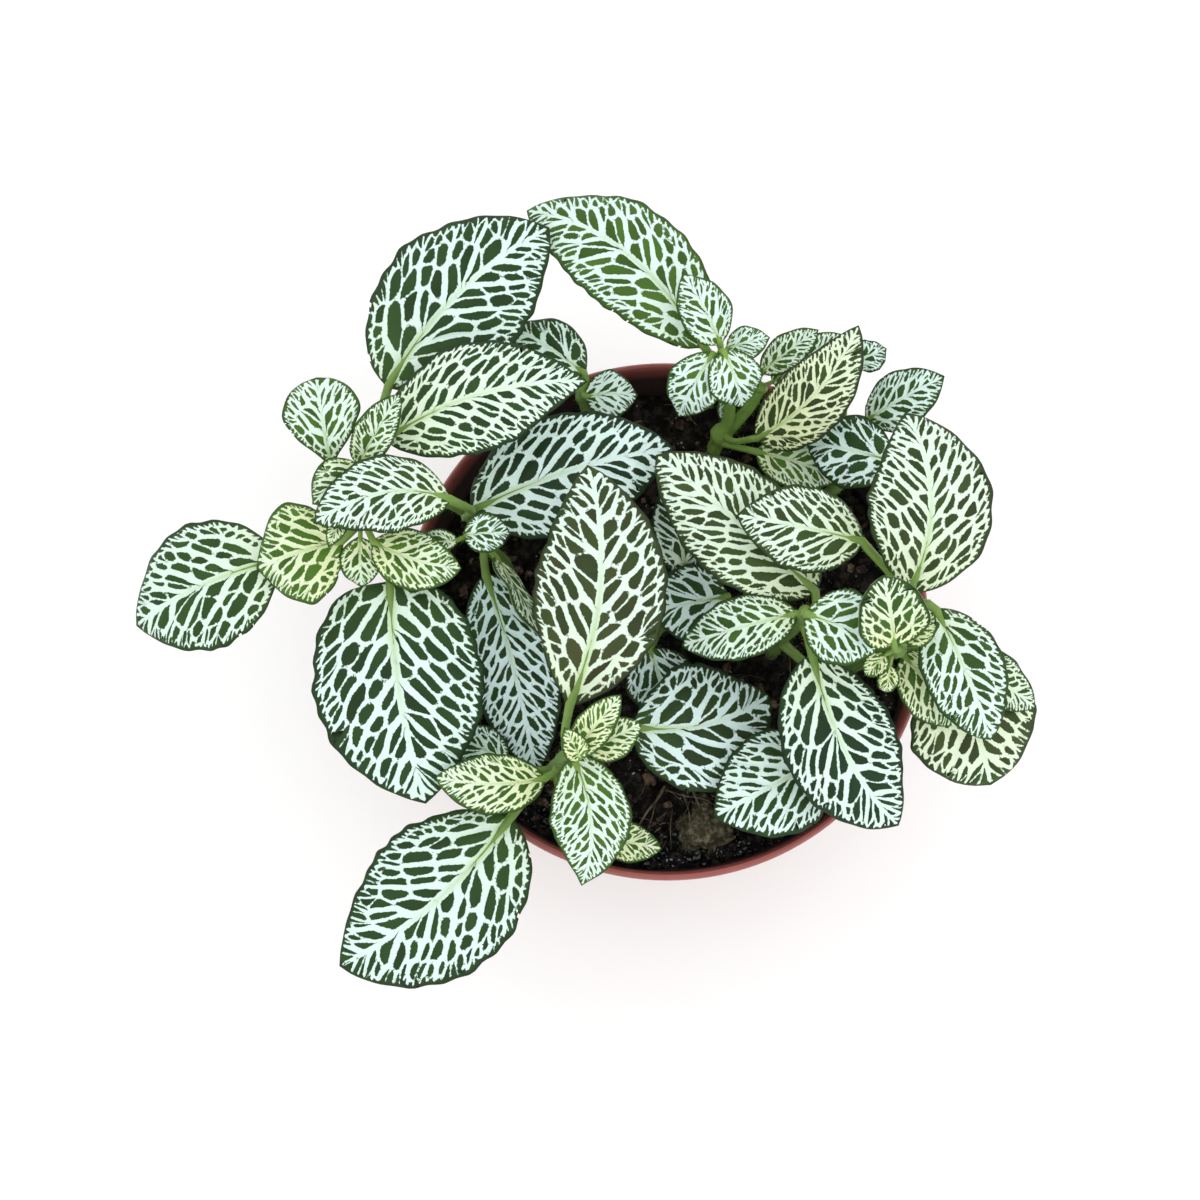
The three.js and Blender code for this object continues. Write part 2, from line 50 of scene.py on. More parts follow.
class Sock:
    def __init__(self, tree, socket=None):
        self.tree = tree
        self.socket = socket

    def node(self, kind, settings=None, inputs=None, out=0):
        made = self.tree.nodes.new(kind)
        for name, value in (settings or {}).items():
            setattr(made, name, value)
        for name, value in (inputs or {}).items():
            if isinstance(value, Sock):
                self.tree.links.new(value.socket, made.inputs[name])
            elif isinstance(value, tuple) and made.inputs[name].type == "RGBA":
                made.inputs[name].default_value = (*value, 1)
            else:
                made.inputs[name].default_value = value
        return Sock(self.tree, made.outputs[out])

    def maths(self, operation, a, b=0.0):
        return self.node("ShaderNodeMath", {"operation": operation}, {0: a, 1: b})

    def __add__(self, other):
        return self.maths("ADD", self, other)

    __radd__ = __add__

    def __sub__(self, other):
        return self.maths("SUBTRACT", self, other)

    def __rsub__(self, other):
        return self.maths("SUBTRACT", other, self)

    def __mul__(self, other):
        return self.maths("MULTIPLY", self, other)

    __rmul__ = __mul__

    def attribute(self, name):
        return self.node("ShaderNodeAttribute", {"attribute_name": name}, out="Fac")

    def place(self):
        return self.node("ShaderNodeTexCoord", out="Object")

    def axis(self, name):
        return self.node("ShaderNodeSeparateXYZ", {}, {0: self.place()}, out=name)

    def noise(self, scale, detail=3.0, rough=0.55, vector=None):
        return self.node("ShaderNodeTexNoise", {}, {"Vector": vector or self.place(), "Scale": scale,
                                                    "Detail": detail, "Roughness": rough})

    def step(self, low, high, start=0.0, end=1.0):   # rises smoothly from start to end
        return self.node("ShaderNodeMapRange", {"interpolation_type": "SMOOTHSTEP"},
                         {"Value": self, "From Min": low, "From Max": high, "To Min": start, "To Max": end})

    def blend(self, first, second):   # first where self is 0, second where it is 1
        return self.node("ShaderNodeMix", {"data_type": "RGBA"}, {0: self, 6: first, 7: second}, out=2)

    def scaled(self, value):
        return self.node("ShaderNodeVectorMath", {"operation": "SCALE"}, {0: self, "Scale": value})


def rgb(red, green, blue):   # a colour of the screen as a shader takes it
    shares = [c / 255 for c in (red, green, blue)]
    return tuple(c / 12.92 if c < 0.04 else ((c + 0.055) / 1.055) ** 2.4 for c in shares)


def newMaterial(name, fixed):
    material = bpy.data.materials.new(name)
    material.use_nodes = True
    shader = material.node_tree.nodes["Principled BSDF"]
    for socket, value in fixed.items():
        shader.inputs[socket].default_value = value
    return material, Sock(material.node_tree)


def wire(material, shade, rough=None, bump=None):
    tree = material.node_tree
    shader = tree.nodes["Principled BSDF"]
    for name, sock in (("Base Color", shade), ("Roughness", rough), ("Normal", bump)):
        if sock:
            tree.links.new(sock.socket, shader.inputs[name])
    return material


def bumped(height, strength, distance):
    return height.node("ShaderNodeBump", {}, {"Height": height, "Strength": strength, "Distance": distance},
                       out="Normal")


# Leaves: dark cells between pale veins

leafMarks = "vein rib tone under rim young cream cool brown".split()   # what each point of a blade tells

leafPaint = {
    "oldCell": rgb(29, 54, 29), "youngCell": rgb(74, 112, 34), "oldVein": rgb(216, 239, 231),
    # the blue-white vein colour is painted shade: the cast veins take when they lie in shade, kept bright
    # to lift those leaves
    "creamVein": rgb(224, 235, 186), "shadeTintVein": rgb(222, 245, 247), "rib": rgb(166, 194, 122),
    "brownCell": rgb(66, 60, 38), "underCell": rgb(120, 142, 104), "underVein": rgb(186, 202, 168),
    "margin": rgb(30, 44, 32), "roughness": 0.45, "raggedness": 0.8,
}


def leafMaterial():
    paint = leafPaint
    material, sock = newMaterial("net_veined_leaf", {"Specular IOR Level": 0.16})
    vein, rib, tone, under, rim, young, cream, cool, brown = map(sock.attribute, leafMarks)
    brown = brown * (0.6 + (sock.noise(70, 2) - 0.5) * 1.6)
    ragged = sock.noise(1300, 4, 0.62)
    speckle = sock.noise(5200, 2)
    cloud = sock.noise(160, 3)
    isCell = (vein + (ragged - 0.5) * paint["raggedness"] + (speckle - 0.5) * 0.2).step(-0.05, 0.06)
    cell = brown.blend(young.blend(paint["oldCell"], paint["youngCell"]), paint["brownCell"])
    cell = cell.scaled(0.92 + 0.22 * tone + (cloud - 0.5) * 0.55 + (speckle - 0.5) * 0.35)
    cell = (rim * 0.7).blend(cell, paint["margin"])
    veins = cream.blend(paint["oldVein"], paint["creamVein"])
    # painted shade: veins turn blue-white by each leaf's share of the shade tint
    veins = cool.blend(veins, paint["shadeTintVein"])
    veins = veins.scaled(0.97 + (cloud - 0.5) * 0.1 + (speckle - 0.5) * 0.1)
    veins = rib.blend(veins, paint["rib"])
    top = isCell.blend(veins, cell)
    below = isCell.blend(paint["underVein"], paint["underCell"])
    shade = under.blend(top, below)
    rough = paint["roughness"] + (speckle - 0.5) * 0.16 + (1 - isCell) * 0.08
    height = (ragged - 0.5) * 0.35 + (speckle - 0.5) * 0.45
    return wire(material, shade, rough, bumped(height, 0.35, 0.00022))


# Stems and leaf stalks

stalkPaint = {
    "young": rgb(132, 168, 72), "old": rgb(94, 124, 54), "foot": rgb(70, 66, 40), "roughness": 0.46,
}


def stalkMaterial():
    paint = stalkPaint
    material, sock = newMaterial("green_stem", {"Specular IOR Level": 0.45, "Sheen Weight": 0.05})
    fresh = sock.attribute("fresh")
    streak = sock.noise(420, 4)
    fine = sock.noise(2600, 3)
    foot = sock.axis("Z").step(0.088, 0.1, 1.0, 0.0)
    shade = fresh.blend(paint["old"], paint["young"])
    shade = shade.scaled(0.9 + (streak - 0.5) * 0.5 + (fine - 0.5) * 0.2)
    shade = (foot * (0.35 + streak * 0.8)).blend(shade, paint["foot"])
    rough = paint["roughness"] + (fine - 0.5) * 0.2
    height = streak * 0.6 + fine * 0.5
    return wire(material, shade, rough, bumped(height, 0.4, 0.0002))


# Pot plastic

potPaint = {
    # the darkest colour is dirt and painted shade: the inner wall shown nearly black where it lies in
    # shadow
    "base": rgb(140, 66, 60), "pale": rgb(162, 88, 80), "darkDirtAndShade": rgb(16, 11, 10), "roughness": 0.42,
}


def potMaterial():
    paint = potPaint
    material, sock = newMaterial("terracotta_plastic", {"Specular IOR Level": 0.45})
    x, y, z = map(sock.axis, "XYZ")
    radius = sock.maths("SQRT", x * x + y * y)
    onWall = 1 - z.step(0.0944, 0.0947)
    depth = 0.0614 - radius - onWall * (0.019 - z * 0.185)   # from inside the wall or the lip
    stretched = sock.node("ShaderNodeMapping", {}, {"Vector": sock.place(), "Scale": (1.0, 1.0, 0.12)})
    streaks = sock.noise(260, 4, 0.6, stretched)
    cloud = sock.noise(35, 4)
    grain = sock.noise(3400, 2)
    scuff = sock.noise(900, 5, 0.7).step(0.62, 0.72)
    inside = depth.step(0.0, 0.0003) * z.step(0.004, 0.01)
    # dirt and painted shade inside the pot: the inner wall darkened nearly to black, less so towards the
    # lip
    dirtAndShade = inside * z.step(0.0975, 0.104, 1.0, 0.3) * sock.noise(330, 5, 0.65).step(0.05, 0.4)
    shade = (cloud * 0.5 + streaks * 0.3).blend(paint["base"], paint["pale"])
    shade = shade.scaled(0.93 + (streaks - 0.5) * 0.16 + (grain - 0.5) * 0.1)
    shade = (scuff * 0.3).blend(shade, paint["pale"])
    shade = (dirtAndShade * 0.95).blend(shade, paint["darkDirtAndShade"])
    rough = paint["roughness"] + (grain - 0.5) * 0.15 + scuff * 0.15 + dirtAndShade * 0.35
    height = grain * 0.4 + streaks * 0.4 + scuff * 0.2
    return wire(material, shade, rough, bumped(height, 0.25, 0.0002))


# Soil, crumbs and roots

soilPaint = {
    "dark": rgb(3, 3, 3), "brown": rgb(62, 55, 49), "fibre": rgb(112, 98, 80), "clay": rgb(138, 134, 108),
    "olive": rgb(58, 55, 40), "bark": rgb(52, 42, 36), "paleBark": rgb(140, 118, 100),
    # the grit colours are pale bluish grains, partly real grit and partly painted glints: specks coloured
    # like reflections on wet soil
    "grainsAndGlints": rgb(112, 122, 132), "paleGrainGlint": rgb(206, 218, 228),
    "darkRoot": rgb(62, 54, 42), "paleRoot": rgb(128, 116, 94),
}


def soilMaterial(name, dark, brown, scale=1.0, rough=0.74, coat=0.0):
    material, sock = newMaterial(name, {"Specular IOR Level": 0.14, "Coat Weight": coat,
                                        "Coat Roughness": 0.12})
    coarse = sock.noise(420 * scale, 5, 0.65)
    fine = sock.noise(2400 * scale, 5, 0.7)
    shade = (coarse.step(0.42, 0.68) * 0.8 + (fine - 0.5) * 0.7).blend(dark, brown)
    shade = fine.step(0.66, 0.74).blend(shade, soilPaint["fibre"])
    height = coarse * 0.7 + fine * 0.6
    return wire(material, shade, rough + (coarse - 0.5) * 0.4, bumped(height, 0.8, 0.0006))


def fibreMaterial():
    material, sock = newMaterial("root_fibre", {"Specular IOR Level": 0.3})
    tint = sock.noise(300, 3)
    fine = sock.noise(4000, 3)
    shade = tint.step(0.35, 0.65).blend(soilPaint["darkRoot"], soilPaint["paleRoot"])
    shade = shade.scaled(0.85 + (fine - 0.5) * 0.5)
    return wire(material, shade, 0.7 + (fine - 0.5) * 0.2, bumped(fine, 0.4, 0.0001))


looks = {
    "leaf": leafMaterial(), "stalk": stalkMaterial(), "pot": potMaterial(),
    "soil": soilMaterial("peat_mix", soilPaint["dark"], soilPaint["brown"]),
    "wet": soilMaterial("wet_peat", soilPaint["dark"], soilPaint["dark"], 1.0, 0.3, 0.9),
    "bark": soilMaterial("bark_chips", soilPaint["bark"], soilPaint["paleBark"], 0.8),
    # pale grains, partly painted glints
    "grainsAndGlints": soilMaterial("pale_grains_painted_glints", soilPaint["grainsAndGlints"], soilPaint["paleGrainGlint"], 1.0, 0.4),
    "lump": soilMaterial("root_ball", soilPaint["olive"], soilPaint["clay"], 1.3), "fibre": fibreMaterial(),
}
print("materials made")


# The plant: leafy stems, with their leaves from base to tip, in millimetres. A leaf's stalk leaves the
# stem at a share of its length (at). Its form: arch and bow of the midrib, vee and dome across it, wave of
# its edge. Its colours: young, cream and brown, and a blue-white tint of the veins that is painted shade,
# for leaves that lie in shade. Its net: coarse cells, thick veins.

usualLeaf = {
    "arch": 2.5, "bow": 0, "roll": 0, "vee": 0.1, "dome": 0.22, "wave": 0.35, "waves": 2.6, "phase": 0,
    "widest": 0.46, "baseEnd": 0.58, "tipEnd": 0.68,
    "young": 0.3, "cream": 0.0, "cool": 0.0, "brown": 0, "coarse": 1, "veins": 1,
}


def leaf(at, base, tip, width, **own):   # a leaf of the usual kind but for its own values
    return {**usualLeaf, "at": at, "base": base, "tip": tip, "width": width, **own}


leafyStems = {
    "stem_left": {
        "line": [(-43, 20, 92), (-45, 22, 106), (-50, 24, 119), (-60, 24, 127), (-72, 22.5, 131)],
        "leaves": [
            leaf(0.98, (-90, 10, 124), (-124.5, -3, 110), 30, arch=4, bow=-1, phase=1, tipEnd=0.65,
                 young=0.25, cream=0.15, veins=1.15),
            leaf(0.99, (-74.8, 13.1, 130), (-93.8, 7.2, 128), 24, phase=2, tipEnd=0.7, young=0.95,
                 cream=0.75),
            leaf(0.98, (-76.8, 29.3, 131), (-80.2, 49.2, 137), 17.5, arch=4, vee=0.3, widest=0.66,
                 baseEnd=0.9, tipEnd=0.45, young=0.7, cream=0.2, veins=1.25),
            leaf(0.96, (-70.5, 30, 134), (-61, 44.5, 141), 9.5, arch=1.5, vee=0.5, young=0.7, cream=0.4),
            leaf(1, (-70, 28.5, 138), (-80, 20, 139), 11, arch=2, vee=0.3, young=0.7, cream=0.5),
            leaf(0.42, (-50, 22, 134), (-79, 14.5, 144), 18, arch=4, bow=-3, phase=3, young=0.35,
                 cream=0.15, brown=0.3, veins=1.1),
            leaf(1, (-73, 16.5, 140), (-76, 9.5, 142), 4.5, arch=1, vee=0.4, wave=0.1, young=0.9,
                 cream=0.8),
            leaf(0.92, (-67.1, 12.5, 132), (-47.6, 6.8, 130), 14, arch=2, bow=-1.5, phase=4, young=0.9,
                 cream=0.65),
            leaf(0.97, (-70.3, 13.6, 131), (-70.3, 3.4, 126), 9.5, arch=1.5, vee=0.2, young=0.9, cream=0.6),
            leaf(0.8, (-63.8, 4, 126), (-56, -45, 114), 39, arch=5, bow=-1.5, phase=5, widest=0.44,
                 baseEnd=0.3, young=0.1, veins=1.08),
            leaf(0.9, (-65, 51, 125), (-28, 90, 123), 35, arch=4, bow=3, phase=6, young=0.15, coarse=1.1),
            leaf(0.85, (-64.5, 36.5, 132), (-19, 49.5, 134), 26, arch=4, bow=3, phase=7, tipEnd=0.9,
                 young=0.15, cream=0.25),
            leaf(0.36, (-45.5, 22.5, 119), (1, 37, 121), 29, arch=3, bow=1.5, phase=8, young=0, cool=0.3,
                 coarse=1.15, veins=1.15),
        ],
    },
    "stem_mid_left": {
        "line": [(-38, 13, 92), (-39, 14, 102), (-42, 15, 112), (-44.5, 16, 121), (-46, 15.5, 127)],
        "leaves": [
            leaf(0.62, (-42.5, 8.5, 112), (-31, -37, 102), 21, arch=2, bow=1, phase=1.5, young=0.1,
                 cool=0.9, veins=1.15),
            leaf(0.66, (-40, 12, 115), (-24.5, -13.5, 119), 15, arch=2, vee=0.2, roll=-70, young=0.6,
                 cream=0.4),
            leaf(0.98, (-46.5, 14.5, 129.5), (-36.5, 15, 129), 9.5, arch=1.5, vee=0.35, young=0.5),
            leaf(0.95, (-48.5, 14, 126.5), (-59, 12.5, 126.5), 6, arch=1, vee=0.4, young=0.6, cream=0.3),
        ],
    },
    "stem_back": {
        "line": [(-14, 38, 92), (-15.5, 42, 100), (-19, 50, 107), (-20.5, 54.5, 110.5)],
        "leaves": [
            leaf(0.97, (-19.5, 57.5, 113), (-36.5, 68.5, 114), 15, arch=2, phase=2.5, young=0.2,
                 coarse=1.5),
            leaf(0.95, (-19, 52, 111.5), (-7, 52.5, 111), 12, arch=2, young=0.4, cool=0.1, veins=2),
        ],
    },
    "stem_top": {
        "knot": (0.42, 1.1),
        "line": [(12, 42, 92), (12.5, 43.5, 99), (15, 47, 108), (14.5, 52, 119), (12, 57, 129)],
        "twig": [(12.5, 43.5, 99), (17, 47, 106), (21, 51, 111), (23, 54.5, 114.5)],
        "leaves": [
            leaf(0.9, (8.5, 60, 127), (-33, 97.5, 114), 26, arch=7, bow=-4.5, phase=2, young=0.7,
                 coarse=1.2),
            leaf(0.98, (12, 59.5, 131), (3.5, 74, 137), 12.5, arch=3, young=0.7, veins=1.25),
            leaf(0.97, (10.4, 57, 131), (2.8, 44.6, 122), 13, arch=4, tipEnd=0.85, young=0.8, cool=0.2,
                 veins=1.3),
            leaf(0.99, (12.8, 56.9, 133), (17.2, 45.6, 127), 13, arch=3.5, young=0.8, veins=1.3),
            leaf(0.95, (13.9, 59.4, 127), (23.5, 62, 127), 8, arch=1, young=0.8, veins=1.2),
            leaf(0.97, (22.8, 56.4, 117.5), (35.6, 65.8, 120), 8.5, arch=1.5, vee=0.4, twig=True, young=0.6,
                 cream=0.3),
            leaf(1, (25.2, 54.4, 116), (41.6, 64.8, 119.5), 10, arch=2, vee=0.2, twig=True, young=0.6,
                 cream=0.3),
            leaf(0.3, (21.5, 41, 115), (43.9, 63.1, 132), 17, arch=3, bow=-3.5, phase=4, widest=0.42,
                 cream=0.75, brown=0.6),
            leaf(0.2, (21.8, 39.1, 109), (41.3, 33.2, 107), 13, arch=2, young=0.8, cream=0.5),
            leaf(0.42, (14.5, 53, 109), (15.1, 47, 103.5), 4.5, arch=0.5, wave=0.1, young=0.6),
        ],
    },
    "stem_upper_right": {
        "line": [(36, 27, 92), (38, 29, 100), (43, 33.5, 106), (48, 38, 110), (51.5, 41, 112)],
        "leaves": [
            leaf(0.6, (44.5, 58, 118.5), (51.8, 61.9, 118), 8, arch=1.5, via=(43, 49, 110)),
            leaf(1, (47.9, 46, 112.5), (64.6, 53.7, 123), 14, arch=2, phase=1, young=0.35),
            leaf(0.85, (53.3, 34.8, 116.5), (33.7, 40, 113), 18, phase=2, young=0.15, cool=0.4, coarse=1.4),
        ],
    },
    "stem_front": {
        "line": [(-27, -36, 92), (-26.5, -36.5, 104), (-25, -36, 117), (-22.5, -35, 128),
                 (-21.5, -34.5, 134)],
        "leaves": [
            leaf(0.82, (-22.5, -24.5, 130), (-18.5, 29.5, 134), 30, arch=7, bow=-5, phase=1, baseEnd=0.8,
                 young=0.25, cream=0.2, brown=0.75, coarse=1.25),
            leaf(0.3, (-37.5, -35, 108), (-50.5, -28.5, 108), 11, arch=1, cool=0.2),
            leaf(0.55, (-28.5, -40, 118), (-53, -40, 120), 14, arch=2, bow=1.5, phase=3, young=0.7,
                 cream=0.65, veins=1.15),
            leaf(0.28, (-36.5, -48.5, 111), (-76, -82, 102), 36, arch=3, bow=3.5, phase=4, young=0.15,
                 veins=1.1),
            leaf(0.75, (-21.8, -35.8, 125), (-19.8, -63.9, 116), 18.5, arch=3, bow=3, tipEnd=0.9,
                 young=0.75, cream=0.15, coarse=0.85),
            leaf(0.25, (-15.5, -52.5, 103), (-1.5, -55, 103), 9.5, arch=1.5, young=0.8, cream=0.9),
            leaf(1, (-21.7, -36.5, 135), (-11.3, -23.7, 139), 8.5, arch=1.5, vee=0.4, young=0.9, cream=0.9),
            leaf(0.95, (-18.4, -35.4, 132), (-6.8, -29.4, 134), 10, arch=1.5, vee=0.2, young=0.8,
                 cream=0.8),
            leaf(1, (-20.1, -37.2, 136), (-23.4, -31.2, 140), 6, arch=1.2, vee=0.6, wave=0.1, young=1,
                 cream=1),
            leaf(0.5, (-8, -27.5, 112), (24, -19, 104), 31, bow=-3.5, phase=2, young=0.1, cool=0.45,
                 brown=0.2, coarse=1.15, veins=1.1),
        ],
    },
    "stem_centre": {
        "line": [(8, -2, 92), (7.5, -1, 96), (6.5, 2, 99.5), (6, 5, 101.5)],
        "leaves": [
            leaf(0.2, (-3.8, -7.7, 102), (1.5, -23.2, 99), 17, arch=1.5, young=0.2, cool=0.6, coarse=1.1),
            leaf(0.9, (7, 9, 102.5), (12.1, 18.5, 103), 11, arch=1.5, young=0.15, cool=0.3, veins=1.3),
            leaf(0.6, (14.8, 4.6, 105), (-3.8, 1, 106), 19, arch=1, young=0.15, cool=0.3, coarse=1.3,
                 veins=1.3),
            leaf(1, (5, 10, 102.5), (1, 32.5, 108.5), 13, arch=2, young=0.1, cream=0.2, cool=0.1,
                 coarse=1.5, veins=1.4),
        ],
    },
    "stem_right_centre": {
        "line": [(26, -7, 92), (27, -6, 105), (29.5, -5, 119), (30.5, -4, 130), (30.5, -3.5, 135)],
        "leaves": [
            leaf(0.83, (33.5, 2, 127), (-2.5, 33, 130), 26, phase=1, young=0.35, cream=0.35, brown=0.6),
            leaf(0.9, (29, -3.5, 129), (3.5, -9.5, 120), 14.5, arch=3, phase=2, young=0.5, cream=0.2),
            leaf(1, (30.5, -5, 137), (47, -12, 137), 18, phase=3, young=0.6, veins=1.1),
            leaf(0.8, (32.5, -13, 128), (53, -50, 112), 26.5, arch=5, bow=-4, phase=4, young=0, cream=0.1,
                 coarse=1.1),
            leaf(0.3, (38, -34, 111), (11, -48, 112), 25, phase=5, tipEnd=0.7, young=0.15, veins=1.2),
        ],
    },
    "stem_right": {
        "line": [(42, -12, 92), (45, -12, 106), (48.5, -12, 120), (51, -12, 131), (51.5, -12, 136)],
        "leaves": [
            leaf(0.9, (43.5, 12, 135), (15.5, 17.5, 137), 20, arch=2, phase=1, young=0.35, cream=0.3,
                 brown=0.5),
            leaf(0.93, (53.5, 0, 139), (53, 39.5, 143), 28, arch=5, bow=-4.5, phase=2, young=0.25,
                 cream=0.3, brown=0.5, coarse=0.95, veins=1.05),
            leaf(1, (49.6, -12.5, 140), (46.5, 1.2, 149), 16, arch=1.5, vee=-0.1, dome=-0.4, tipEnd=0.5,
                 young=0.6, cream=0.6),
            leaf(1, (52.3, -11, 137.5), (58.6, -5.9, 139.5), 8, arch=1, vee=0.5, young=1, cream=1),
            leaf(0.97, (48.4, -13.9, 135), (44, -18, 133), 5.5, arch=1, vee=0.4, young=1, cream=1),
            leaf(0.93, (49.5, -15.7, 132), (49.1, -21.1, 127), 5, arch=1, vee=0.3, young=1, cream=0.9),
            leaf(0.85, (60.1, -3.4, 133), (72.8, -31.5, 125), 19, arch=3.5, phase=5, tipEnd=0.6,
                 via=(56.5, -1.5, 134), young=0.35, cream=0.1, coarse=1.15, veins=1.1),
            leaf(0.75, (65.8, -11.7, 124), (84.5, -23.4, 117), 12.5, arch=2, young=0.35, cream=0.5),
            leaf(0.6, (66.3, -15.3, 118), (74.9, -40.4, 111), 30, arch=3, phase=6, tipEnd=0.5, young=0.35,
                 cream=0.6, brown=0.6, coarse=1.1, veins=1.2),
            leaf(0.8, (53.4, -12.6, 126), (66.7, -27.4, 118), 15, arch=2, young=0.6, cream=0.7),
        ],
    },
}


# The vein net of a leaf. Seeds of cells lie in files along the side veins. Each cell is what lies nearest
# to its seed, so that the sides between cells are the veins.

netForm = {
    "pitch": 1.2, "pitchGrowth": 0.08,           # way from file to file, and its growth with width
    "spacing": 1.25, "jitter": 0.24,             # cells of a file, in pitches
    "turn": 36, "stretch": 2.5,                  # cells are drawn out at this angle to the midrib
    "edgeRows": [(0.12, 0.4), (0.46, 0.56)],     # depth of a row in the margin, and its spacing
    "reach": 6, "neighbours": 26,                # a cell before it is cut, and how many cells cut it
    "atBase": 0.85, "toTip": 1.0, "sweep": 0.3,  # how side veins lean towards the tip
    "segment": 1.25, "station": 1.2,             # from point to point of a cell's side and of the margin
    "marginWidth": 0.74,
    "ribWide": 0.042, "ribThin": 0.4,            # half widths of the midrib: a share of the leaf's, and mm
    "mainWide": 0.86, "mainThin": 0.31, "mid": 0.27, "small": 0.13,   # half widths of the other veins
}


def cutBy(polygon, a, b, c, kind):
    # keeps the side of a polygon where a*u + b*v <= c; each point carries the kind of the side after it
    kept = []
    for i, point in enumerate(polygon):
        after = polygon[(i + 1) % len(polygon)]
        over = a * point[0] + b * point[1] - c
        overAfter = a * after[0] + b * after[1] - c
        if over <= 0:
            kept.append(point)
        if (over > 0) != (overAfter > 0):
            share = over / (over - overAfter)
            kept.append((point[0] + share * (after[0] - point[0]), point[1] + share * (after[1] - point[1]),
                         kind if over <= 0 else point[2]))
    return kept


def halved(holds, high, times):   # the last place where something holds, and the last one tried
    low = 0.0
    for halving in range(times):
        middle = (low + high) / 2
        low, high = (middle, high) if holds(middle) else (low, middle)
    return low, middle


class LeafNet:
    # in the leaf's own plane: x along the midrib, y across it
    def __init__(self, leaf, seed):
        self.length = math.dist(leaf["base"], leaf["tip"])
        self.width = leaf["width"]
        self.power = math.log(0.5) / math.log(leaf["widest"])
        self.ends = (leaf["baseEnd"], leaf["tipEnd"])
        self.random = random.Random(seed)
        self.pitch = (netForm["pitch"] + netForm["pitchGrowth"] * self.width) * leaf["coarse"]
        self.segment = min(netForm["segment"], 0.3 * self.pitch)
        self.margin = min(netForm["marginWidth"], 0.014 * self.width + 0.12)
        turn = math.radians(netForm["turn"])
        self.cos, self.sin = math.cos(turn), math.sin(turn)
        self.size = min(1.0, 0.48 + self.width / 50) * leaf["veins"]   # finer veins on smaller leaves
        self.cells = []
        self.veinWidth = {}
        self.offsets = {}
        for sign in (1, -1):
            self.offsets[sign] = self.random.uniform(0.2, 0.8) * self.pitch
        sides = {sign: self.cellsOf(self.offsets[sign]) for sign in (1, -1)}
        ribPoints = sorted({round(p[0], 5) for polygons in sides.values() for polygon in polygons
                            for p in polygon if p[1] == 0})
        for sign, polygons in sides.items():
            for polygon in polygons:
                self.addCell(polygon, sign, ribPoints)

    def half(self, x):
        s = clamped(x / self.length)
        swell = max(0.0, math.sin(math.pi * s ** self.power))
        return max(self.width / 2 * swell ** (self.ends[0] + (self.ends[1] - self.ends[0]) * s), 0.5)

    def inner(self, x):   # where the net ends and the plain margin begins
        half = self.half(x)
        tip = clamped((x / self.length - 0.86) / 0.1)
        return half - min(self.margin, 0.3 * half) * (1 - 0.7 * tip)

    def lean(self, y):
        return netForm["atBase"] * y + netForm["sweep"] * y * y / (self.width / 2)

    def xAt(self, line, y):
        return line * (1 + netForm["toTip"] * y / self.length) + self.lean(y)

    def lineAt(self, x, y):
        return (x - self.lean(y)) / (1 + netForm["toTip"] * y / self.length)

    def squeezed(self, x, y):   # the plane drawn in along the side veins
        return (x * self.cos + y * self.sin) / netForm["stretch"], y * self.cos - x * self.sin

    def reach(self, line, wanted):   # how far out along a file that way is
        return halved(lambda y: self.squeezed(self.xAt(line, y), y)[0] < wanted, self.width / 2, 18)[1]

    def drawnOut(self, p, q):
        p *= netForm["stretch"]
        x, y = p * self.cos - q * self.sin, p * self.sin + q * self.cos
        return x, (0.0 if abs(y) < 1e-6 else y)

    def ribWidth(self, x):
        s = clamped(x / self.length)
        thin = netForm["ribThin"] * self.size
        return thin + (netForm["ribWide"] * self.width - thin) * (1 - s) ** 1.2

    def seeds(self, offset):
        found, placed = [], []
        chance, pitch = self.random.random, self.pitch

        def clear(x, y, far):   # no seed of the margin is nearer
            return all(math.dist(seed, (x, y)) > far * pitch for seed in placed)

        for depth, spacing in netForm["edgeRows"]:   # rows of smaller cells along the margin
            x = (0.15 + 0.3 * chance()) * pitch
            while x < self.length - 0.05 * pitch:
                slope = (self.inner(x + 0.1) - self.inner(x - 0.1)) / 0.2
                steep = math.sqrt(1 + min(slope * slope, 16))
                y = self.inner(x) - depth * (0.75 + 0.5 * chance()) * pitch * steep
                if y > 0.12 * pitch and clear(x, y, 0.3):
                    found.append((self.lineAt(x, y), y))
                    placed.append((x, y))
                x += spacing * (0.75 + 0.5 * chance()) * pitch / steep
        for pair in range(-3, int(self.length / pitch / 2) + 2):   # two files, on both sides of a side vein
            first = offset + (2 * pair + 1.5 + 0.3 * (chance() - 0.5)) * pitch
            y = (0.1 + 0.5 * chance()) * pitch
            p = self.squeezed(self.xAt(first, y), y)[0]
            last = self.squeezed(self.xAt(first + pitch, self.width / 2), self.width / 2)[0]
            while p < last:
                for line in (first, first + pitch):
                    own = line + pitch * netForm["jitter"] * (chance() - 0.5)
                    y = self.reach(own, p + 0.34 * pitch * (chance() - 0.5))
                    x = self.xAt(own, y)
                    if 0 < x < self.length and self.inner(x) - y > 0.4 * pitch and y > 0.14 * pitch:
                        if clear(x, y, 0.5):
                            found.append((own, y))
                step = netForm["spacing"] / netForm["stretch"] * (0.6 + 0.8 * chance())
                p += pitch * step * (1.5 - 1.6 * y / self.width)
        return found

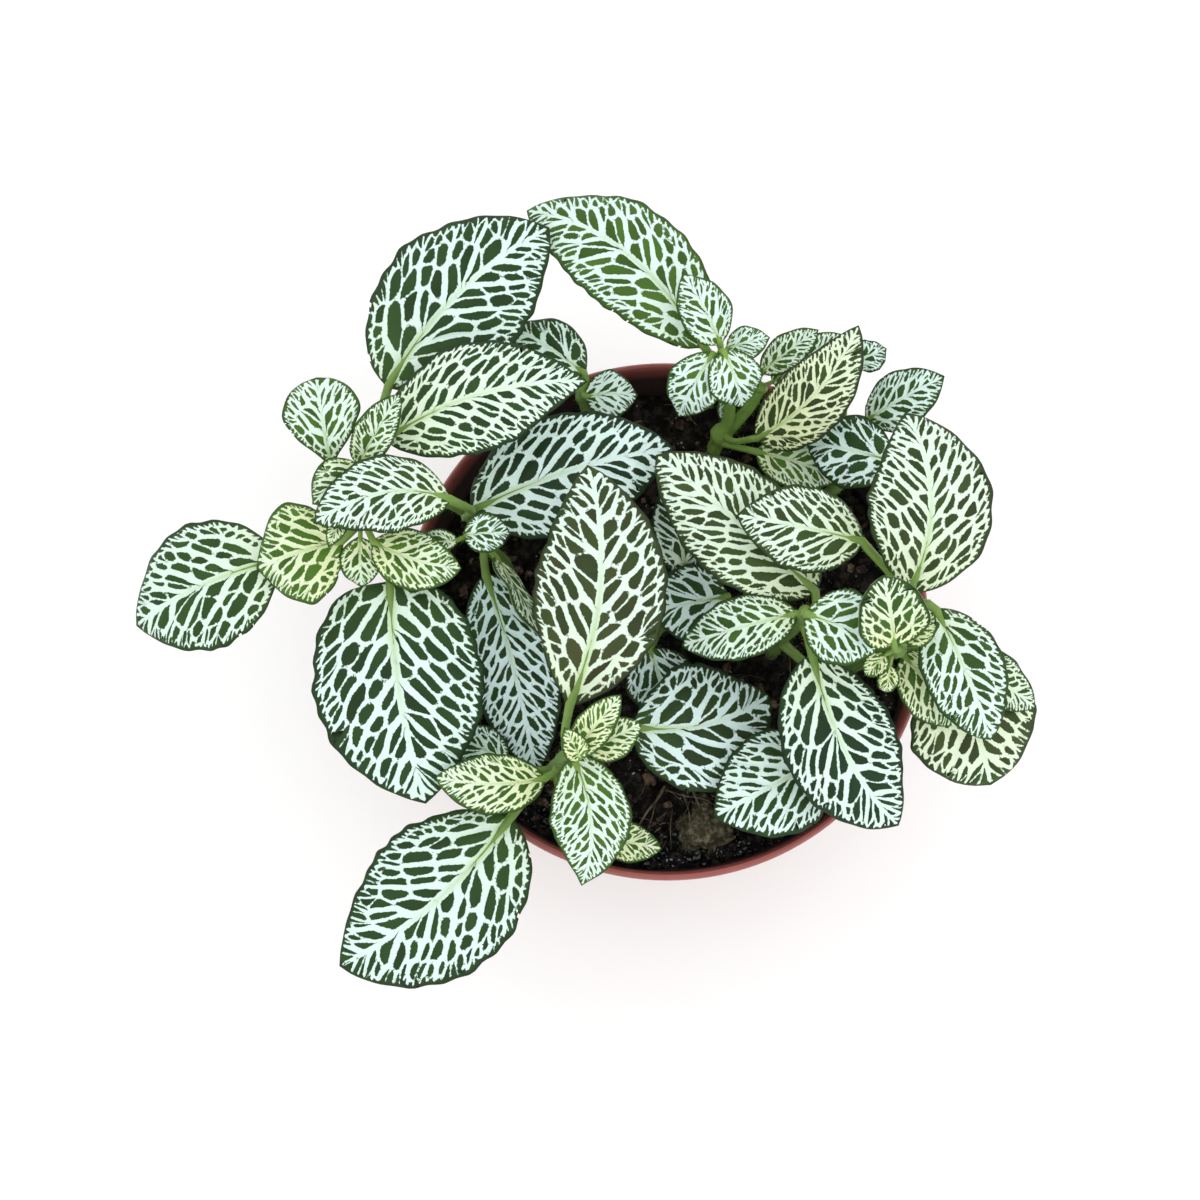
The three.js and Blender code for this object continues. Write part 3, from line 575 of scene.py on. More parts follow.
    def cellsOf(self, offset):
        seeds = self.seeds(offset)
        spots = [self.squeezed(self.xAt(line, y), y) for line, y in seeds]
        files = [math.floor((line - offset) / self.pitch) for line, y in seeds]
        reach = netForm["reach"] * self.pitch
        polygons = []
        for i, (u, v) in enumerate(spots):
            polygon = [(u - reach, v - reach, ""), (u + reach, v - reach, ""),
                       (u + reach, v + reach, ""), (u - reach, v + reach, "")]
            near = sorted((math.dist(spot, (u, v)), k) for k, spot in enumerate(spots) if k != i)
            for far, k in near[:netForm["neighbours"]]:
                a, b = spots[k]
                kind = "small" if files[k] == files[i] else "mid"
                if files[k] // 2 != files[i] // 2:
                    kind = "main"
                polygon = cutBy(polygon, a - u, b - v, (a * a + b * b - u * u - v * v) / 2, kind)
            polygon = cutBy(polygon, -netForm["stretch"] * self.sin, -self.cos, 0, "rib")
            if len(polygon) > 2:
                polygons.append([(*self.drawnOut(p, q), kind) for p, q, kind in polygon])
        return polygons

    def addCell(self, polygon, sign, ribPoints):
        ring = []
        for i, a in enumerate(polygon):
            b = polygon[(i + 1) % len(polygon)]
            if math.dist(a[:2], b[:2]) < 1e-5:
                continue
            stops = [a[:2], b[:2]]
            if a[2] == "rib":
                low, high = sorted((a[0], b[0]))
                between = [(u, 0.0) for u in ribPoints if low + 1e-4 < u < high - 1e-4]
                stops[1:1] = between if a[0] < b[0] else between[::-1]
            for start, end in zip(stops, stops[1:]):
                far = math.dist(start, end)
                steps = max(2 if far > 0.6 * self.segment else 1, round(far / self.segment))
                first, last = sorted((start, end))
                spread = math.sin(12.9 * round(first[0] + last[0], 3) + 78.2 * round(first[1] + last[1], 3))
                chance = math.modf(abs(spread * 437.58))[0]
                for k in range(steps):
                    share = (steps - k) / steps if first != start else k / steps
                    ring.append((first[0] + (last[0] - first[0]) * share,
                                 first[1] + (last[1] - first[1]) * share, a[2], chance))
        cell = self.trim(ring)
        if cell:
            self.keep(cell, sign)

    def trim(self, ring):   # cuts the ring where the plain margin begins
        def inside(x, y):
            return 0 < x < self.length and y <= self.inner(x)

        within = [inside(point[0], point[1]) for point in ring]
        if all(within) or not any(within):
            return ring if all(within) else None
        kept = []
        leave = enter = None
        for i, a in enumerate(ring):
            b = ring[(i + 1) % len(ring)]
            if within[i]:
                kept.append(a)
            if within[i] == within[(i + 1) % len(ring)]:
                continue
            near, far = (a, b) if within[i] else (b, a)

            def between(share):
                return [near[axis] + (far[axis] - near[axis]) * share for axis in (0, 1)]

            x, y = between(halved(lambda share: inside(*between(share)), 1.0, 22)[0])
            kept.append((x, min(self.inner(x), y), "edge", 0.5))
            if within[i]:
                leave = (len(kept), x)
            else:
                enter = x
        step = netForm["station"] * (1.0 if self.width > 12 else 0.6)
        low, high = sorted((leave[1], enter))
        numbers = range(math.ceil((low + 0.15) / step), math.ceil((high - 0.15) / step))
        stations = [number * step for number in numbers]
        if leave[1] > enter:
            stations.reverse()
        kept[leave[0]:leave[0]] = [(x, self.inner(x), "edge", 0.5) for x in stations]
        return kept

    def keep(self, cell, sign):
        keys = []
        for x, y, kind, chance in cell:
            room = self.inner(x) - y
            share = min(y / self.half(x), 1.0)
            if kind == "edge":
                width = -0.35
            elif kind == "rib":
                width = self.ribWidth(x)
            elif kind == "main":
                wide, thin = netForm["mainWide"], netForm["mainThin"]
                width = self.size * (wide + (thin - wide) * share)
            elif kind == "mid":
                width = self.size * netForm["mid"] * (0.5 + 0.9 * chance)
            else:
                width = self.size * netForm["small"] * (0.3 + 1.6 * chance * chance)
            if kind != "edge":   # spikes that thin out in the margin, and a little waviness
                width *= min(1.0, max(0.3, room / (1.3 * self.margin)))
                loose = clamped(min(room / 2, y / 1.5)) * min(1.0, self.pitch / 3.5)
                side = sign * y
                shiftX = math.sin(1.3 * x + 0.7 * side + 1) + 0.6 * math.sin(2.3 * y + 1.1 * x * sign)
                shiftY = math.sin(1.1 * side - 0.8 * x + 2) + 0.6 * math.sin(2.6 * x - 1.4 * y)
                x, y = x + 0.26 * loose * shiftX, y + 0.22 * loose * shiftY
            key = (round(x, 3), round(sign * y, 3) + 0.0)
            if keys and keys[-1] == key:
                continue
            old = self.veinWidth.get(key, width)
            self.veinWidth[key] = min(old, width) if min(old, width) < 0 else max(old, width)
            keys.append(key)
        if keys[0] == keys[-1]:
            keys.pop()
        if len(keys) > 3:
            self.cells.append(keys if sign > 0 else keys[::-1])


def insetRing(points, widths):   # the dark cell inside its veins, rounded, and its middle
    count = len(points)
    area = centreX = centreY = 0.0
    for i in range(count):
        (ax, ay), (bx, by) = points[i], points[(i + 1) % count]
        cross = ax * by - bx * ay
        area += cross / 2
        centreX += (ax + bx) * cross / 6
        centreY += (ay + by) * cross / 6
    if area < 1e-4:
        return None
    centreX, centreY = centreX / area, centreY / area
    moved = []
    for i in range(count):
        (ax, ay), (x, y), (bx, by) = points[i - 1], points[i], points[(i + 1) % count]
        before = math.dist((ax, ay), (x, y)) or 1.0
        later = math.dist((x, y), (bx, by)) or 1.0
        nx = (ay - y) / before + (y - by) / later
        ny = (x - ax) / before + (bx - x) / later
        size = math.hypot(nx, ny) or 1.0   # small at a sharp corner, which moves in further
        nx, ny = nx / size, ny / size
        room = max((centreX - x) * nx + (centreY - y) * ny, 0.1)
        width = min(max(widths[i], 0.1) * 2 / max(size, 0.75), 0.62 * room)
        moved.append((x + nx * width, y + ny * width))
    for turn in range(2):
        later = moved[1:] + moved[:1]
        moved = [tuple(0.25 * moved[i - 1][axis] + 0.5 * moved[i][axis] + 0.25 * later[i][axis]
                       for axis in (0, 1)) for i in range(count)]
    return moved, (centreX, centreY), area


# The blade: its net laid on the leaf's waved surface

bladeForm = {
    "thickness": 0.46, "sunk": 0.1, "raised": 0.16,   # veins sunk and cells raised against the sheet
    "pucker": 0.4, "undulation": 0.3, "scallop": 0.016,
}


def runOf(leaf, s):   # the midrib, the way across it and the way up from it, at shares s of its length
    base, tip = np.array(leaf["base"], float), np.array(leaf["tip"], float)
    chord = tip - base
    ahead = chord / np.linalg.norm(chord)
    left = np.cross((0, 0, 1), ahead)
    left /= np.linalg.norm(left)
    up = np.cross(ahead, left)

    def midrib(at):
        swell = (4 * at * (1 - at))[:, None]
        return base + chord * at[:, None] + left * leaf["bow"] * swell + up * leaf["arch"] * swell

    along = midrib(s + 0.01) - midrib(s - 0.01)
    along /= np.linalg.norm(along, axis=1)[:, None]
    turn = math.radians(leaf["roll"])
    across = left * math.cos(turn) + up * math.sin(turn)
    across = across - along * (across * along).sum(1)[:, None]
    across /= np.linalg.norm(across, axis=1)[:, None]
    return midrib(s), along, across, np.cross(along, across)


def bladeSurface(leaf, net, x, y):
    s = x / net.length
    point, along, across, out = runOf(leaf, s)
    at = np.clip(s, 0, 1)
    swell = np.maximum(np.sin(np.pi * at ** net.power), 0)
    half = np.maximum(net.width / 2 * swell ** (net.ends[0] + (net.ends[1] - net.ends[0]) * at), 0.5)
    t = np.clip(y / half, -1.1, 1.1)
    side = np.abs(t)
    ends = np.sqrt(np.maximum(np.sin(np.pi * at), 0))
    ripple = np.sin(2 * np.pi * leaf["waves"] * s + leaf["phase"] + np.where(t > 0, 0, 1.9))
    lift = leaf["vee"] * side * half - leaf["dome"] * t * t * half
    lift += 1.3 * leaf["wave"] * ripple * side ** 1.5 * ends
    offset = np.where(y > 0, net.offsets[1], net.offsets[-1])
    away = np.abs(y)
    line = net.lineAt(x, away)
    room = np.clip(away / (0.1 * net.width), 0, 1) * np.clip((half - away) / (0.12 * net.width), 0, 1)
    bulge = np.sin(np.pi * (line - offset) / (2 * net.pitch)) ** 2
    lift += bladeForm["pucker"] * min(1, net.width / 25) * bulge * room
    tilt = leaf["phase"] * 2.1
    swells = np.sin(x / 3.4 + tilt) + np.sin(y / 2.9 - x / 5.1 + 2 * tilt)
    lift += bladeForm["undulation"] * ends * side * swells
    teeth = np.sin(x / 0.95 + tilt) + 0.8 * np.sin(x / 1.9 - tilt)
    reach = y * (1 + bladeForm["scallop"] * side ** 3 * teeth)
    return point + across * reach[:, None] + out * lift[:, None]


def placeBlade(leaf, net, spots):
    # spots are x, y, lift and which face; the whole blade is one closed sheet
    x, y, lift, face = np.array(spots, float).T
    point = bladeSurface(leaf, net, x, y)
    step = 0.05
    ahead = bladeSurface(leaf, net, x + step, y) - bladeSurface(leaf, net, x - step, y)
    aside = bladeSurface(leaf, net, x, y + step) - bladeSurface(leaf, net, x, y - step)
    normal = np.cross(ahead, aside)
    normal /= np.linalg.norm(normal, axis=1)[:, None]
    return point + normal * (face * bladeForm["thickness"] / 2 + lift)[:, None]


def makeBlade(leaf, seed):
    net = LeafNet(leaf, seed)
    chance = random.Random(seed + 1000)
    spots, facts, faces = [], [], []   # facts: vein, rib, tone, under, rim

    def spot(x, y, lift, face, vein, tone=0.0, rim=0.0):
        rib = max(0.0, 1 - abs(y) / (1.3 * net.ribWidth(x))) * max(0.0, 1 - x / net.length / 0.75)
        spots.append((x, y, lift, face))
        facts.append((vein, rib, tone, 1.0 if face < 0 else 0.0, rim))
        return len(spots) - 1

    ringTop, ringUnder = {}, {}
    for key, width in net.veinWidth.items():
        deep = bladeForm["sunk"] * min(1.0, max(width, 0) / 0.4)
        ringTop[key] = spot(*key, -deep, 1, -width, rim=0.5 if width < 0 else 0.0)
        ringUnder[key] = spot(*key, -1.2 * deep, -1, -width)
    used = {}
    for keys in net.cells:
        widths = [net.veinWidth[key] for key in keys]
        found = insetRing(keys, widths)
        if not found:
            continue
        ring, middle, area = found
        tone = chance.uniform(-1, 1)
        high = bladeForm["raised"] * min(1.0, math.sqrt(area) / 3.4)
        edge = [(0.0 if width >= 0 else 0.3) for width in widths]
        first = [spot(*p, 0.0, 1, e, tone) for p, e in zip(ring, edge)]
        halfway = [tuple(middle[axis] + 0.55 * (p[axis] - middle[axis]) for axis in (0, 1)) for p in ring]
        second = [spot(*p, high * 0.8, 1, 0.45 * math.dist(p, middle) + 0.2, tone) for p in halfway]
        centre = spot(*middle, high, 1, 0.9, tone)
        below = [spot(*p, 0.0, -1, e, tone) for p, e in zip(ring, edge)]
        belowCentre = spot(*middle, 0.4 * high, -1, 0.9, tone)
        count = len(keys)
        for i in range(count):
            j = (i + 1) % count
            a, b = keys[i], keys[j]
            used[(a, b)] = used.get((a, b), 0) + 1
            faces.append((ringTop[a], ringTop[b], first[j], first[i]))
            faces.append((first[i], first[j], second[j], second[i]))
            faces.append((second[i], second[j], centre))
            faces.append((ringUnder[b], ringUnder[a], below[i], below[j]))
            faces.append((below[j], below[i], belowCentre))
    after = {a: b for a, b in used if (b, a) not in used}
    outer = {}
    for key in set(after) | set(after.values()):
        x, y = key
        if y == 0:
            reach = (-0.5, 0.0) if x < net.length / 2 else (net.length + 0.4, 0.0)
        else:
            reach = (x, math.copysign(net.half(x), y))
        outer[key] = (spot(*reach, -0.05, 1, 0.7, rim=1.0), spot(*reach, 0.05, -1, 0.7, rim=1.0))
    for a, b in after.items():
        faces.append((ringTop[a], outer[a][0], outer[b][0], ringTop[b]))
        faces.append((outer[a][0], outer[a][1], outer[b][1], outer[b][0]))
        faces.append((outer[a][1], ringUnder[a], ringUnder[b], outer[b][1]))
    return net, spots, facts, faces


def packCharts(sizes):   # places of rectangles on shelves in a square, and the square's side
    order = sorted(range(len(sizes)), key=lambda i: -sizes[i][1])
    side = math.sqrt(sum(w * h for w, h in sizes)) * 1.04
    while True:
        places, x, y, shelf = {}, 0.0, 0.0, 0.0
        for i in order:
            w, h = sizes[i]
            if x + w > side:
                x, y, shelf = 0.0, y + shelf, 0.0
            shelf = max(shelf, h)
            places[i] = (x, y)
            x += w
        if y + shelf <= side and max(w for w, h in sizes) <= side:
            return places, side
        side *= 1.02


def meshObject(name, points, faces, look):
    mesh = bpy.data.meshes.new(name)
    mesh.from_pydata(points, [], faces)
    mesh.update()
    piece = bpy.data.objects.new(name, mesh)
    bpy.context.scene.collection.objects.link(piece)
    return dress(piece, look, smooth=False)


def floatLayer(piece, label, values):
    layer = piece.data.attributes.new(label, "FLOAT", "POINT")
    layer.data.foreach_set("value", values)


def dress(piece, look, smooth=True):
    piece.data.materials.clear()
    piece.data.materials.append(looks[look])
    if smooth:
        piece.data.polygons.foreach_set("use_smooth", [True] * len(piece.data.polygons))
    return piece


def disc(name, sides, radius, height):   # in mm, left open to be drawn up
    clearSelection()
    bpy.ops.mesh.primitive_circle_add(vertices=sides, radius=radius * mm, fill_type="NGON",
                                      location=(0, 0, height * mm))
    made = named(name)
    bpy.ops.object.mode_set(mode="EDIT")
    return made


def drawUp(height, share):   # extrudes the faces chosen by a height and to a share of their width
    bpy.ops.mesh.extrude_region_move(TRANSFORM_OT_translate={"value": (0, 0, height * mm)})
    bpy.ops.transform.resize(value=(share, share, 1), center_override=(0, 0, 0))


def closeShape():
    bpy.ops.mesh.select_all(action="SELECT")
    bpy.ops.mesh.normals_make_consistent(inside=False)
    bpy.ops.object.mode_set(mode="OBJECT")


def triangles(*pieces):
    return sum(len(face.vertices) - 2 for piece in pieces for face in piece.data.polygons)


def named(name):   # what an operator has just made, with its name
    bpy.context.object.name = name
    return bpy.context.object


def clearSelection():
    if bpy.context.object and bpy.context.object.mode != "OBJECT":
        bpy.ops.object.mode_set(mode="OBJECT")
    bpy.ops.object.select_all(action="DESELECT")


def pick(pieces):   # selects pieces, the first of them as the active one
    clearSelection()
    for piece in pieces:
        piece.select_set(True)
    bpy.context.view_layer.objects.active = pieces[0]


def makeLeaves(name, stem, number):
    points, faces, facts, charts = [], [], [], []
    for i, leaf in enumerate(stem["leaves"]):
        net, spots, leafFacts, leafFaces = makeBlade(leaf, 100 * number + i + 1)
        placed = placeBlade(leaf, net, spots) * mm
        first = len(points)
        points.extend(map(tuple, placed))
        faces.extend(tuple(first + k for k in face) for face in leafFaces)
        for (x, *rest), fact in zip(spots, leafFacts):   # younger and creamier towards the base
            s = max(x / net.length, 0.0)
            base = max(0.0, 1 - s / 0.35)
            young = clamped(leaf["young"] + 0.2 * base)
            # leaves that carry the painted shade tint get less cream at the base
            cream = clamped(leaf["cream"] * (1.5 - 0.9 * s) + 0.3 * base * (1 - leaf["cool"]))
            facts.append((*fact, young, cream, leaf["cool"], leaf["brown"]))
        charts.append((first, len(leafFaces), spots, (net.length + 3, net.width + 3)))
    piece = meshObject(name, points, faces, "leaf")
    for k, label in enumerate(leafMarks):
        floatLayer(piece, label, [fact[k] for fact in facts])
    places, side = packCharts([size for chart in charts for size in (chart[3], chart[3])])
    flat = np.zeros((len(points), 2))
    for i, (first, count, spots, size) in enumerate(charts):
        for k, (x, y, lift, face) in enumerate(spots):
            at = places[2 * i + (face < 0)]
            flat[first + k] = ((at[0] + x + 1.5) / side, (at[1] + y + size[1] / 2) / side)
    layer = piece.data.uv_layers.new(name="blades")
    corners = np.zeros(len(piece.data.loops), int)
    piece.data.loops.foreach_get("vertex_index", corners)
    layer.data.foreach_set("uv", flat[corners].ravel())
    return dress(piece, "leaf")


# Stems, leaf stalks and the ribs under the blades, as tapering tubes

stalkForm = {
    "stem": 1.6, "swelling": 0.6, "wideStalk": 1.2, "stalk": 0.95, "thinStalk": 0.62, "ribEnd": 0.85,
    "stemPoints": 60, "ribPoints": 14,
    "depth": 9, "inHole": 1.95, "holeTop": 94,   # how deep a stem goes, and how thick in its hole
    "hairs": 5, "hairLength": 0.9, "hairWidth": 0.07, "hairsFrom": 90,
}


def curvePoints(points, count):   # a smooth line through points, at even shares of its length
    p = [np.array(point, float) for point in points]
    p = [2 * p[0] - p[1]] + p + [2 * p[-1] - p[-2]]
    fine = []
    for i in range(1, len(p) - 2):
        t = [0.0]
        for before, later in zip(p[i - 1:i + 2], p[i:i + 3]):
            t.append(t[-1] + max(np.linalg.norm(later - before), 1e-6) ** 0.5)
        for u in np.linspace(t[1], t[2], 16, endpoint=False):
            between = p[i - 1:i + 3]
            for start, span in ((0, 1), (0, 2), (1, 1)):   # four points, then three, two and one
                knots = range(start, start + len(between) - 1)
                between = [a + (b - a) * (u - t[k]) / (t[k + span] - t[k])
                           for a, b, k in zip(between, between[1:], knots)]
            fine.append(between[0])
    fine.append(p[-2])
    fine = np.array(fine)
    far = np.concatenate([[0], np.cumsum(np.linalg.norm(np.diff(fine, axis=0), axis=1))])
    wanted = np.linspace(0, far[-1], count)
    return np.stack([np.interp(wanted, far, fine[:, axis]) for axis in range(3)], 1), far[-1]


def tubes(name, runs, look, sides=3):
    curve = bpy.data.curves.new(name, "CURVE")
    curve.dimensions = "3D"
    curve.bevel_depth = 1.0
    curve.bevel_resolution = sides
    curve.use_fill_caps = True
    for points, radii in runs:
        spline = curve.splines.new("POLY")
        spline.points.add(len(points) - 1)
        for spot, point, radius in zip(spline.points, points, radii):
            spot.co = (*(np.array(point) * mm), 1)
            spot.radius = radius * mm
    piece = bpy.data.objects.new(name, curve)
    bpy.context.scene.collection.objects.link(piece)
    pick([piece])
    bpy.ops.object.convert(target="MESH")
    return dress(piece, look)


def stalkRuns(stem):
    runs, joints = [], []
    lines = [stem["line"], stem.get("twig")]
    for leaf in stem["leaves"]:
        line, far = curvePoints(lines[1 if leaf.get("twig") else 0], 120)
        at = min(leaf["at"], 0.97)
        start = line[round(at * (len(line) - 1))]
        joints.append((bool(leaf.get("twig")), at))
        base = np.array(leaf["base"], float)
        s = np.linspace(0, 1, stalkForm["ribPoints"])
        mid, along, across, out = runOf(leaf, np.linspace(0, stalkForm["ribEnd"], len(s)))
        gap = np.linalg.norm(start - base)
        through = [start]
        if "via" in leaf:
            through.append(leaf["via"])
        elif gap > 4:
            through.append(start + (base - 0.4 * gap * along[0] - start) * 0.6)
        stalk, length = curvePoints(through + [base], max(6, int(gap / 1.6)))
        size = "thinStalk" if leaf["width"] < 11 else "stalk" if leaf["width"] < 18 else "wideStalk"
        radius = stalkForm[size]
        shares = np.linspace(0, 1, len(stalk))
        thick = radius * (1.12 - 0.22 * np.sin(np.pi * shares) - 0.2 * shares)
        ribs = radius * 0.92 * (1 - s) ** 0.8 + 0.12
        sink = (bladeForm["thickness"] / 2 + 0.55 * ribs) * np.clip(s / 0.12, 0, 1)
        under = mid - out * sink[:, None]
        fresh = 0.35 + 0.5 * leaf["young"]
        runs.append((np.concatenate([stalk, under[1:]]), np.concatenate([thick, ribs[1:]]), fresh))
    for k, points in enumerate(lines):
        if not points:
            continue
        x, y, z = points[0]
        down = [(x, y, z - stalkForm["depth"])] if k == 0 else []
        line, far = curvePoints(down + list(points), stalkForm["stemPoints"])
        shares = np.linspace(0, 1, len(line))
        thick = stalkForm["stem"] * (1.06 - 0.28 * shares)
        for onTwig, at in joints:
            if onTwig == bool(k):
                thick += stalkForm["swelling"] * 0.5 * np.exp(-((shares - at * 0.97) / 0.03) ** 2)
        thick[-1] *= 0.5
        if "knot" in stem and k == 0:
            thick += stem["knot"][1] * np.exp(-((shares - stem["knot"][0]) / 0.05) ** 2)
        room = stalkForm["inHole"] + np.clip((line[:, 2] - stalkForm["holeTop"]) * 0.4, 0, 3)
        runs.append((line, np.minimum(thick, room), 0.1 + 0.5 * ("knot" in stem)))
    return runs


def makeStalks(name, stem, number):
    runs = stalkRuns(stem)
    pieces = []
    for k, (points, radii, fresh) in enumerate(runs):
        piece = tubes(name + "_" + str(k), [(points, radii)], "stalk")
        floatLayer(piece, "fresh", [fresh] * len(piece.data.vertices))
        pieces.append(piece)
    pieces.append(makeHairs(name + "_hairs", runs, number))
    pick(pieces)
    bpy.ops.object.join()
    pieces[0].name = name
    pieces[0].data.name = name
    return pieces[0]


def makeHairs(name, runs, number):   # short hairs that stand off the stems and stalks
    chance = random.Random(number)
    points, faces = [], []
    for line, radii, fresh in runs:
        for i in range(1, len(line) - 1):
            along = Vector(line[i + 1] - line[i - 1]).normalized()
            if line[i][2] < stalkForm["hairsFrom"]:
                continue
            for k in range(stalkForm["hairs"] if radii[i] > 0.5 else 1):
                out = Vector([chance.gauss(0, 1) for axis in range(3)]).cross(along).normalized()
                side = out.cross(along)
                foot = Vector(line[i]) + along * chance.uniform(-0.6, 0.6) + out * radii[i] * 0.9
                out += along * chance.uniform(-0.2, 0.5)
                end = foot + out * stalkForm["hairLength"] * chance.uniform(0.6, 1.3)
                wide = stalkForm["hairWidth"] / 2
                first = len(points)
                points += [foot + side * wide, foot - side * wide * 0.5 + along * wide,
                           foot - side * wide * 0.5 - along * wide, end]
                faces += [(first, first + 2, first + 1), (first, first + 1, first + 3),
                          (first + 1, first + 2, first + 3), (first + 2, first, first + 3)]
    piece = meshObject(name, [tuple(p * mm) for p in points], faces, "stalk")
    floatLayer(piece, "fresh", [0.9] * len(points))
    return piece


total = 0
for number, (name, stem) in enumerate(leafyStems.items()):
    leaves = makeLeaves(name + "_leaves", stem, number + 1)
    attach(leaves, "root")
    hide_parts(name)
    stalks = makeStalks(name + "_stalks", stem, number + 1)
    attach(stalks, "root")
    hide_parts(name)
    total += triangles(leaves, stalks)
    print(name, "made,", len(stem["leaves"]), "leaves,", triangles(leaves, stalks), "triangles")
print("leafy stems made,", total, "triangles")


# Pot: a disc drawn up, round the lip and down the inside, then pierced

potForm = {
    "sides": 144,
    "profile": [   # radius and height, from the foot over the lip to the floor inside
        (41.8, 0), (43, 0.4), (43.3, 1.6), (60, 92), (60.3, 94), (61.4, 94.6), (61.9, 95.4), (62.1, 97),
        (62.5, 103.6), (62.3, 104.5), (61.8, 105), (61.2, 105), (60.8, 104.6), (60.5, 104),
        (59.8, 96), (59.2, 94.6), (58.7, 93), (42.2, 3.4), (41, 2.4),
    ],
    "drainHoles": 6, "holeRadius": 4, "holeCircle": 30,
}


def makePot():
    radius, height = potForm["profile"][0]
    pot = disc("nursery_pot", potForm["sides"], radius, height)
    for nextRadius, nextHeight in potForm["profile"][1:]:
        drawUp(nextHeight - height, nextRadius / radius)
        radius, height = nextRadius, nextHeight
    closeShape()
    circle = potForm["holeCircle"] * mm
    for k in range(potForm["drainHoles"]):
        turn = 2 * math.pi * (k + 0.5) / potForm["drainHoles"]
        clearSelection()
        bpy.ops.mesh.primitive_cylinder_add(vertices=32, radius=potForm["holeRadius"] * mm, depth=0.02,
                                            location=(circle * math.cos(turn), circle * math.sin(turn), 0))
        drill = bpy.context.object
        bpy.context.view_layer.objects.active = pot
        cut = pot.modifiers.new("drain", "BOOLEAN")
        cut.operation = "DIFFERENCE"
        cut.solver = "EXACT"
        cut.object = drill
        bpy.ops.object.modifier_apply(modifier=cut.name)
        bpy.data.objects.remove(drill)
    pick([pot])
    bpy.ops.object.transform_apply(location=True, rotation=True, scale=True)
    bpy.ops.object.shade_smooth_by_angle(angle=math.radians(40))
    return dress(pot, "pot", smooth=False)


pot = makePot()
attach(pot, "root")
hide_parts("pot")
print("pot made")


# Soil: a plug with a rough top, crumbs, a lump of old root ball and loose root fibres

soilForm = {
    "floor": 2.6, "level": 91, "rise": 2.5, "unevenness": 0.7, "rings": 46, "sides": 150,
    "bottomRadius": 41.2, "topRadius": 57.8, "wallRadius": 60.4,
    "lumpAt": (9.2, -49.2, 92), "lumpSize": (8.4, 7.4, 5.8),
    "lumpReach": (57.6, 59.2), "ledge": (94.5, 96),   # how far out it comes under the step and over it
    "bank": (57.6, 94.4), "bankSize": (2.3, 1.2), "bankStart": (51, 84),   # soil washed over the step
    "stepHeight": 94.75, "stepRadius": 58, "lipRadius": 60,
    "underStep": (57.2, 95),   # how far out crumbs lie, unless the ground is higher than this
    "front": 0.3,              # the front is where -y is more than this share of the way out
}


def soilTop(x, y):
    rise = soilForm["rise"] * max(0.0, -y / soilForm["wallRadius"]) ** 2
    uneven = math.sin(0.31 * x + 1) * math.cos(0.27 * y) + 0.6 * math.sin(0.73 * x - 0.61 * y)
    return soilForm["level"] + rise + soilForm["unevenness"] * uneven


def roughness(x, y, z=0.0):   # in mm
    large = noise.noise((x / 4.5, y / 4.5, z / 4.5))
    middle = noise.noise((x / 1.7, y / 1.7, z / 1.7 + 7))
    small = noise.noise((x / 0.8, y / 0.8, z / 0.8 + 3))
    return 1.4 * large + 0.6 * middle + 0.3 * small


def makeSoil():
    bottom, top, floor = soilForm["bottomRadius"], soilForm["topRadius"], soilForm["floor"]
    soil = disc("potting_soil", soilForm["sides"], bottom, floor)
    drawUp(soilForm["level"] - floor, top / bottom)
    for ring in range(soilForm["rings"]):
        bpy.ops.mesh.inset(thickness=top / (soilForm["rings"] + 1) * mm)
    bpy.ops.mesh.poke()
    closeShape()
    bpy.ops.object.transform_apply(location=True, rotation=True, scale=True)
    for vertex in soil.data.vertices:
        x, y, z = vertex.co / mm
        if z > soilForm["level"] / 2:
            vertex.co.z = (soilTop(x, y) + roughness(x, y) - 0.3) * mm
            inward = 1 - 0.006 * abs(noise.noise((x / 3, y / 3, 5)))
            vertex.co.x *= inward
            vertex.co.y *= inward
    return dress(soil, "soil")


def makeBank():
    clearSelection()
    bpy.ops.mesh.primitive_torus_add(major_segments=230, minor_segments=16,
                                     major_radius=1.0, minor_radius=0.25)
    bank = named("soil_bank")
    far, high = soilForm["bank"]
    wide, deep = soilForm["bankSize"]
    near, low = soilForm["bankStart"]
    for vertex in bank.data.vertices:
        x, y, z = vertex.co
        out = math.hypot(x, y)
        front = clamped((-y / out - 0.12) / 0.25)
        front = front * front * (3 - 2 * front)
        reach = near + (far - near) * front + 4 * (out - 1) * wide * (0.3 + 0.7 * front)
        level = low + (high - low) * front + 4 * z * deep
        x, y = x / out * reach, y / out * reach
        level += 0.8 * front * roughness(x, y, level)
        if reach > soilForm["stepRadius"]:
            level = max(level, soilForm["stepHeight"])
        vertex.co = Vector((x, y, level)) * mm
    return dress(bank, "soil")


def groundAt(x, y):   # the soil's top, and the bank's over the step
    ground = soilTop(x, y) + roughness(x, y)
    past = (math.hypot(x, y) - soilForm["bank"][0]) / soilForm["bankSize"][0]
    if abs(past) < 1 and -y > soilForm["front"] * math.hypot(x, y):
        ground = max(ground, soilForm["bank"][1] + soilForm["bankSize"][1] * math.sqrt(1 - past * past))
    return ground


